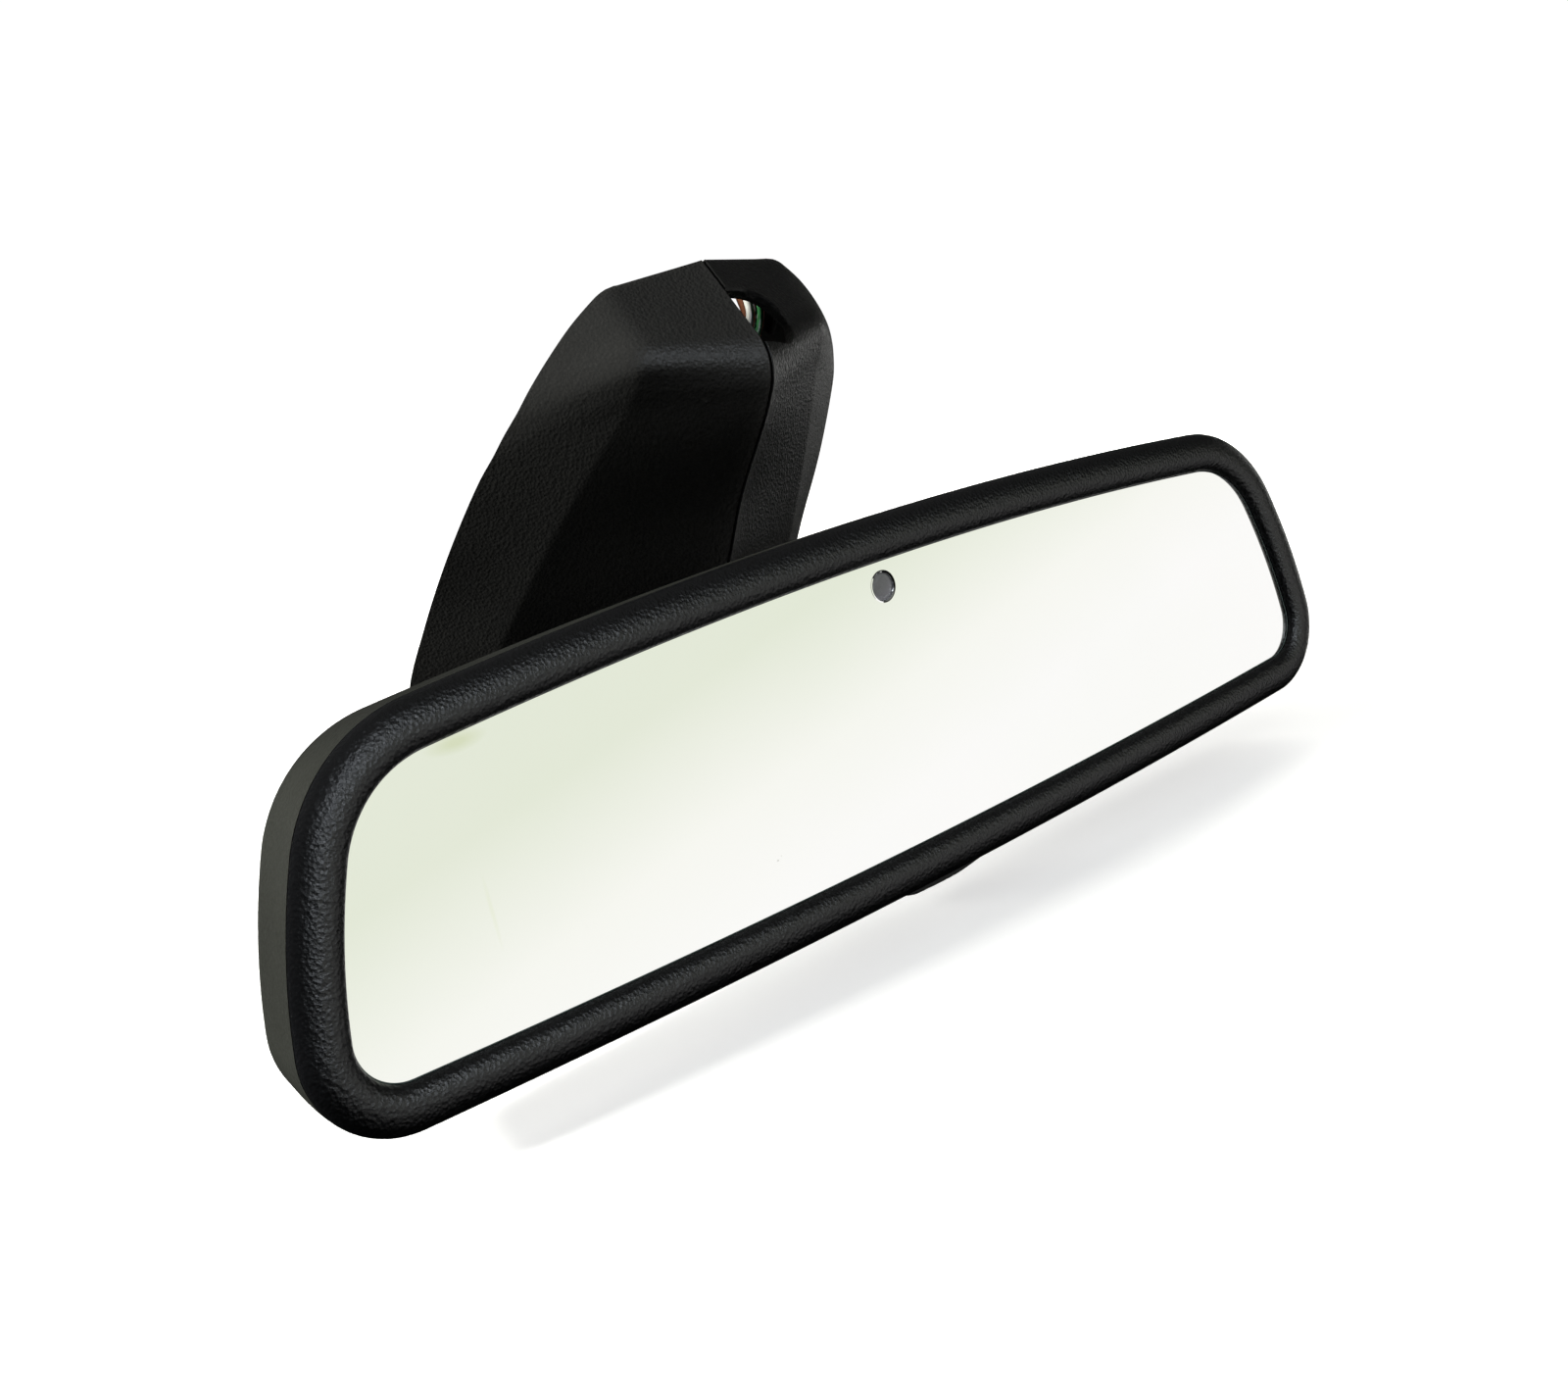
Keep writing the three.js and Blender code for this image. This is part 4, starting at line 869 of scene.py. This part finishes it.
# ---- Foot ----
def build_foot():
    """The die-cast foot: stem with its ball, flaring into the disc that meets the windscreen."""
    ball_angles = np.radians(np.linspace(136, 33.4, 22))
    ball = [(BALL_RADIUS * math.sin(a), BALL_RADIUS * math.cos(a)) for a in ball_angles]
    stem = [(5.5, 12), (6.0, 14), (7.2, 19), (7.6, 28), (7.8, 38), (8.2, 42), (9, 46), (10.8, 50), (14, 55)]
    end = 57.6
    bore = [(3.4, end), (3.4, 18), (2.8, 16), (2.8, 0)]
    ball_mouth = (6.2, -7.2)
    profile = [ball_mouth, *ball, *stem, (14, end), *bore, ball_mouth]
    made = turn("foot_casting", profile, BALL_CENTRE, STEM_AXIS, 96)
    edge, centre_radius = 0.6, 0.01
    disc = [
        (centre_radius, -FOOT_THICKNESS),
        (FOOT_RADIUS - edge, -FOOT_THICKNESS),
        (FOOT_RADIUS, -FOOT_THICKNESS + edge),
        (FOOT_RADIUS, -edge),
        (FOOT_RADIUS - edge * 0.7, 0),
        (SOCKET_RADIUS + 0.4, 0),
        (SOCKET_RADIUS, -0.4),
        (SOCKET_RADIUS, -SOCKET_DEPTH),
        (centre_radius, -SOCKET_DEPTH),
    ]
    combine(made, turn("disc", disc, FOOT_CENTRE, SCREEN_NORMAL, 128), "UNION")
    keep_clear = [(SOCKET_RADIUS, -SOCKET_DEPTH), (SOCKET_RADIUS, 8)]
    combine(made, turn("socket", keep_clear, FOOT_CENTRE, SCREEN_NORMAL, 128))
    shade(made)
    finish(made, "root", "diecast", "mount_foot")


def on_foot(across, depth, up):
    """A place given across, towards the windscreen and up along it, from the middle of the foot's face."""
    return FOOT_CENTRE + X_AXIS * across + SCREEN_NORMAL * depth + SCREEN_UP * up


def build_shield():
    """The shield between the cover's halves behind the cable outlet, with ribs on its inner side."""
    inner_face, outer_face, edge = -4.0, -2.0, 0.3
    right_edge = [(31, 45), (30, 50), (26, 55), (21.5, 59), (19, 62)]
    knots = smooth_curve(right_edge, 40)
    outline = np.array([*knots, *[(-x, z) for x, z in knots[::-1]]])
    middle = np.array([0, 54])
    shrunk = middle + (outline - middle) * (1 - edge / 14)
    layers = [
        (inner_face, shrunk),
        (inner_face + edge, outline),
        (outer_face - edge, outline),
        (outer_face, shrunk),
    ]
    made = skin("outlet_shield_panel", [[on_foot(x, depth, z) for x, z in layer] for depth, layer in layers])
    axes = (X_AXIS, SCREEN_NORMAL, SCREEN_UP)
    rib_size = (1.2, 1.8, 6)
    for across in (-20, -10, 0, 20):
        rib = rounded_box("rib", on_foot(across, inner_face - 0.6, 54.5), axes, rib_size, 0.25)
        combine(made, rib, "UNION")
    combine(made, rounded_box("wire_notch", on_foot(11.75, -3, 63.5), axes, (7.5, 8, 15), 1.2))
    combine(made, rounded_box("between_legs", on_foot(0, -3, 45.5), axes, (38, 8, 10), 1.2))
    shade(made)
    finish(made, "root", "black_plastic", "outlet_shield")


# ---- Wires ----
# From the outlet, down behind the cover and round the foot into the stem, to the ball's middle
COVER_ROUTE = [
    (10.6, 32.0, 79.0), (10.4, 31.2, 75.0), (8.3, 32.2, 70.0), (3.0, 38.0, 59.5), (0, 47.5, 46.5),
    (0, 54.5, 36.5), (0, 57.2, 30.0), (0, 57.2, 25.2), (0, 55.2, 21.6), (0, 51.0, 18.7),
    (0, 46.0, 15.6), (0, 34.0, 7.94), (0, 23.6, 1.33),
]
BUNDLE_RADIUS = 1.6


def rings_along(points, radii, sides):
    """Circles square to a path, one at each of its points."""
    points = np.asarray(points, float)
    tangents = np.gradient(points, axis=0)
    tangents /= np.linalg.norm(tangents, axis=1)[:, None]
    normal = np.cross(tangents[0], X_AXIS)
    normal /= np.linalg.norm(normal)
    rings = []
    angles = np.linspace(0, 2 * math.pi, sides, endpoint=False)
    for point, tangent, radius in zip(points, tangents, radii):
        normal = normal - tangent * (normal @ tangent)
        normal /= np.linalg.norm(normal)
        side = np.cross(tangent, normal)
        rings.append([point + radius * (normal * math.cos(a) + side * math.sin(a)) for a in angles])
    return rings


def strand(route, place):
    """One wire of the bundle: the route moved sideways, in a slow lay."""
    lay = 1.2
    centre = smooth_curve(route, 150)
    tangents = np.gradient(centre, axis=0)
    tangents /= np.linalg.norm(tangents, axis=1)[:, None]
    across = X_AXIS - tangents * (tangents @ X_AXIS)[:, None]
    across /= np.linalg.norm(across, axis=1)[:, None]
    other = np.cross(tangents, across)
    turn_by = 2 * math.pi * place / len(WIRES) + np.linspace(0, lay, len(centre))[:, None]
    return centre + BUNDLE_RADIUS * (across * np.cos(turn_by) + other * np.sin(turn_by))


def build_wires():
    for place, colour in enumerate(WIRES):
        points = strand(COVER_ROUTE, place)
        rings = rings_along(points, [WIRE_RADIUS] * len(points), 16)
        made = skin(f"wire_{colour}_insulated", rings)
        finish(made, "root", f"wire_{colour}", f"wire_{colour}")


def route_part(route, start, end, count):
    """Points of a route between two shares of its length."""
    fine = smooth_curve(route, 400)
    lengths = np.concatenate([[0], np.cumsum(np.linalg.norm(np.diff(fine, axis=0), axis=1))])
    wanted = np.linspace(start, end, count) * lengths[-1]
    return np.column_stack([np.interp(wanted, lengths, fine[:, axis]) for axis in range(3)])


def build_sleeve_and_tie():
    """The braided sleeve over the wires, swelling and tightening along its length, and the tie round it."""
    radius, wave, end_radius, bore = 3.22, 0.07, 2.95, 2.7
    points = route_part(COVER_ROUTE, 0.16, 0.42, 60)
    radii = radius + wave * np.sin(np.linspace(0, 22, len(points)))
    radii[[0, -1]] = end_radius
    outer = rings_along(points, radii, 40)
    inner = rings_along(points, [bore] * len(points), 40)
    made = skin("harness_sleeve_braid", [*outer, *inner[::-1]], loop=True)
    finish(made, "root", "sleeve", "harness_sleeve")
    start, after = route_part(COVER_ROUTE, 0.29, 0.31, 2)
    axis = (after - start) / np.linalg.norm(after - start)
    turned = Vector(Y_AXIS).rotation_difference(Vector(axis))
    side, up = (np.array(turned @ Vector(v)) for v in (X_AXIS, Z_AXIS))
    band = [(3.7, -1.1), (4.45, -1.2), (4.6, -1.05), (4.6, 1.05), (4.45, 1.2), (3.7, 1.1), (3.7, -1.1)]
    made = turn("cable_tie_band", band, start, axis, 72)
    axes = (side, axis, up)
    through = start + up * 5.9
    combine(made, rounded_box("tie_head", start + up * 5.5, axes, (4, 2.6, 2.6), 0.35), "UNION")
    combine(made, rounded_box("tie_slot", through, axes, (6, 1.5, 0.6), 0.05))
    combine(made, rounded_box("tie_tail", through + side * 1.5, axes, (1.0, 1.4, 0.5), 0.1), "UNION")
    shade(made)
    finish(made, "root", "black_plastic", "cable_tie")


def build_spring():
    """The split spring washer in the foot's socket, its tips raised, and the rivets that hold it."""
    inner, outer, low, high, edge, tip_lift = 8.4, 11.9, -3.3, -2.5, 0.12, 1.0
    half_opening, tip_steps = math.radians(32.5), 12
    angles = np.linspace(-math.pi / 2 + half_opening, 3 * math.pi / 2 - half_opening, 90)
    section = [
        (inner + edge, low), (outer - edge, low), (outer, low + edge), (outer, high - edge),
        (outer - edge, high), (inner + edge, high), (inner, high - edge), (inner, low + edge),
    ]
    rings = []
    for i, angle in enumerate(angles):
        to_end = min(i, len(angles) - 1 - i) / tip_steps
        lift = tip_lift * max(0, 1 - to_end) ** 2
        across, up = math.cos(angle), math.sin(angle)
        rings.append([on_foot(r * across, depth + lift, r * up) for r, depth in section])
    finish(skin("retaining_spring_leaf", rings), "root", "spring_steel", "retaining_spring")
    rivet = [
        (0.01, -1.6), (0.9, -1.5), (0.9, 1.4), (1.62, 1.4), (1.7, 1.48), (1.6, 1.7), (1.3, 1.87), (0.8, 1.97),
        (0.01, 2.0),
    ]
    for number, across in ((1, -10.1), (2, 10.1)):
        made = turn(f"spring_rivet_{number}_head", rivet, on_foot(across, low, 1.5), SCREEN_NORMAL, 48)
        finish(made, "root", "screw_steel", f"spring_rivet_{number}")


# ---- Screws ----
def screw(node, origin, axis, shank, length, head):
    """A pan-head screw with a cross recess and threads, its head's underside at origin."""
    height, pitch, recess_depth = 1.4, 0.4, 0.8
    profile = [(0.01, -length), (shank * 0.45, -length + 0.25)]
    for z in np.arange(-length + 0.6, -0.3, pitch):
        profile += [(shank * 0.8, z), (shank, z + pitch / 2)]
    profile += [
        (shank, 0), (head - 0.1, 0), (head, 0.1), (head, 0.6), (head * 0.93, 0.95), (head * 0.7, 1.25),
        (head * 0.35, height), (0.01, height),
    ]
    made = turn(f"{node}_pan", profile, origin, axis, 40)
    u, v = basis_to(axis)[:, 0], basis_to(axis)[:, 2]
    long, short = head * 1.1, head * 0.26
    for sizes in ((long, recess_depth, short), (short, recess_depth, long)):
        combine(made, rounded_box("recess", origin + axis * height, (u, axis, v), sizes, 0.06))
    shade(made)
    finish(made, "head", "screw_steel", node)


def build_screws():
    """The pivot block's four screws, the board's two, and the retainer's three round the ball."""
    for number, (x, z) in enumerate(((-29, 13), (29, 13), (-29, -15), (29, -15)), 1):
        screw(f"pivot_screw_{number}", np.array([x, 10.0, z]), Y_AXIS, 1.1, 3.8, 2.1)
    for number, (x, z) in enumerate(((-22, 22.5), (86, -12)), 1):
        screw(f"board_screw_{number}", np.array([x, 12.5, z]), Y_AXIS, 1.1, 5, 2.1)
    circle_radius, circle_height = 14.6, 2.3
    middle = BALL_CENTRE + STEM_AXIS * circle_height
    down = np.array([0, STEM_AXIS[2], -STEM_AXIS[1]])
    for number, angle in enumerate(np.radians([0, 120, 240]), 1):
        place = middle + circle_radius * (X_AXIS * math.sin(angle) + down * math.cos(angle))
        screw(f"retainer_screw_{number}", place, STEM_AXIS, 0.9, 5, 1.5)


# ---- Room ----
def quad(name, corners, material):
    mesh = bpy.data.meshes.new(name)
    mesh.from_pydata(corners, [], [(0, 1, 2, 3)])
    mesh.materials.append(material)
    made = bpy.data.objects.new(name, mesh)
    bpy.context.scene.collection.objects.link(made)
    return made


def hide_from(made, *rays):
    for ray in rays:
        setattr(made, f"visible_{ray}", False)


def glowing(look, strength, colour):
    """Makes a look shine by itself instead of being lit."""
    look.nodes.remove(look.nodes["Principled BSDF"])
    glow = look.add("Emission", {"Strength": strength, "Color": colour})[0]
    look.give(look.nodes["Material Output"], {"Surface": glow})
    return look.owner


def build_floor():
    """A pale matt floor just under the object, which fades to plain white away from it."""
    reach, gap = 6.0, 0.002
    fade_start, fade_end, near_glow, far_glow = 0.15, 0.7, 0.6, 1.02
    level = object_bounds()[0].z - gap
    look = new_look("floor")
    away = look.length(look.where)
    material = look.surface({
        "Base Color": (0.62, 0.62, 0.62, 1),
        "Roughness": 0.9,
        "Specular IOR Level": 0.0,
        "Emission Color": WHITE,
        "Emission Strength": look.remapped(away, near_glow, far_glow, fade_start, fade_end),
    })
    corners = [(x * reach, y * reach, level) for x, y in ((-1, -1), (1, -1), (1, 1), (-1, 1))]
    floor = quad("floor", corners, material)
    hide_from(floor, "diffuse", "glossy")
    floor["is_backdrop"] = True


def build_backdrop():
    """A white shell all round, seen only directly."""
    bpy.ops.mesh.primitive_uv_sphere_add(segments=48, ring_count=24, radius=9)
    backdrop = bpy.context.object
    backdrop.name = "backdrop"
    backdrop.data.materials.append(glowing(new_look("backdrop"), 1.02, WHITE))
    hide_from(backdrop, "diffuse", "glossy", "transmission", "shadow", "volume_scatter")
    backdrop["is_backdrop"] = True


def build_card():
    """A bright card in front, which the glass reflects: pale green to one side, pinkish to the other."""
    y, low, high, left, right = -0.95, -0.85, 0.25, -0.1, 1.8
    look = new_look("card")
    place = look.add("SeparateXYZ", {0: look.where})
    rightwards = look.maths("MULTIPLY", place["X"], 0.42)
    upwards = look.maths("MULTIPLY", place["Z"], 1.9)
    colour = look.ramp(look.maths("SUBTRACT", rightwards, upwards), (
        (0.58, (0.80, 0.83, 0.72, 1)),
        (0.80, (0.96, 0.95, 0.92, 1)),
        (0.98, (1.0, 0.98, 0.99, 1)),
    ))
    corners = [(left, y, low), (right, y, low), (right, y, high), (left, y, high)]
    card = quad("card", corners, glowing(look, 1.0, colour))
    hide_from(card, "camera", "diffuse", "shadow")
    card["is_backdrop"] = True


def build_world():
    """Dim light from all round, darker from below."""
    world = bpy.data.worlds.new("room")
    bpy.context.scene.world = world
    look = Look(world, "Generated")
    height = look.add("SeparateXYZ", {0: look.where})["Z"]
    colour = look.ramp(height, ((0.2, (0.012, 0.012, 0.012, 1)), (0.8, (0.55, 0.56, 0.55, 1))))
    look.give(look.nodes["Background"], {"Color": colour, "Strength": 0.25})


# name, direction from the object, distance, width and height, power, colour, and the rays that don't see it
LIGHTS = [
    ("window", (-0.08, -0.97, 0.22), 1.1, (0.22, 0.3), 6, (0.86, 0.92, 1.0), "diffuse"),
    ("left_side", (-0.88, 0.16, 0.47), 1.0, (0.25, 0.25), 27, (1.0, 1.0, 0.95), "glossy"),
    ("left_behind", (-0.6, 0.75, 0.2), 1.0, (0.4, 0.4), 12, (1.0, 1.0, 0.93), "glossy"),
    ("overhead", (0.0, -0.5, 0.85), 1.2, (1.0, 1.0), 1.5, (1.0, 1.0, 1.0), "glossy"),
    ("right_side", (0.9, 0.36, 0.25), 1.0, (0.4, 0.4), 12, (1.0, 0.99, 0.92), "glossy"),
    ("right_sheen", (0.97, 0.2, -0.12), 1.0, (0.4, 0.4), 0.85, (1.0, 1.0, 0.97), "diffuse"),
]


def area_light(name, direction, distance, size, power, colour):
    """A soft rectangular light that looks at the object's middle from a direction."""
    data = bpy.data.lights.new(name, "AREA")
    data.shape = "RECTANGLE"
    data.size, data.size_y = size
    data.energy = power
    data.color = colour
    light = bpy.data.objects.new(name, data)
    bpy.context.scene.collection.objects.link(light)
    low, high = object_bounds()
    away = Vector(direction).normalized()
    light.location = (low + high) / 2 + away * distance
    light.rotation_mode = "QUATERNION"
    light.rotation_quaternion = away.to_track_quat("Z", "Y")
    return light


def build_lights():
    for *values, hidden_ray in LIGHTS:
        hide_from(area_light(*values), hidden_ray)


# ---- The frame's own nodes that stay ----
def dress_frame_nodes():
    """Gives each of the frame's nodes its slot's material."""
    slots = {s["node"]: s["material_slot"] for s in frame["record"]["subparts"]}
    for name, made in NODES.items():
        made.data.materials.clear()
        made.data.materials.append(MATERIALS[slots[name]])


make_camera()
dress_frame_nodes()
build_bezel()
build_housing()
build_glass()
build_socket()
build_covers()
build_foot()
build_shield()
build_wires()
build_sleeve_and_tie()
build_spring()
build_screws()
build_floor()
build_backdrop()
build_card()
build_world()
build_lights()
bpy.context.scene.view_settings.view_transform = "Standard"
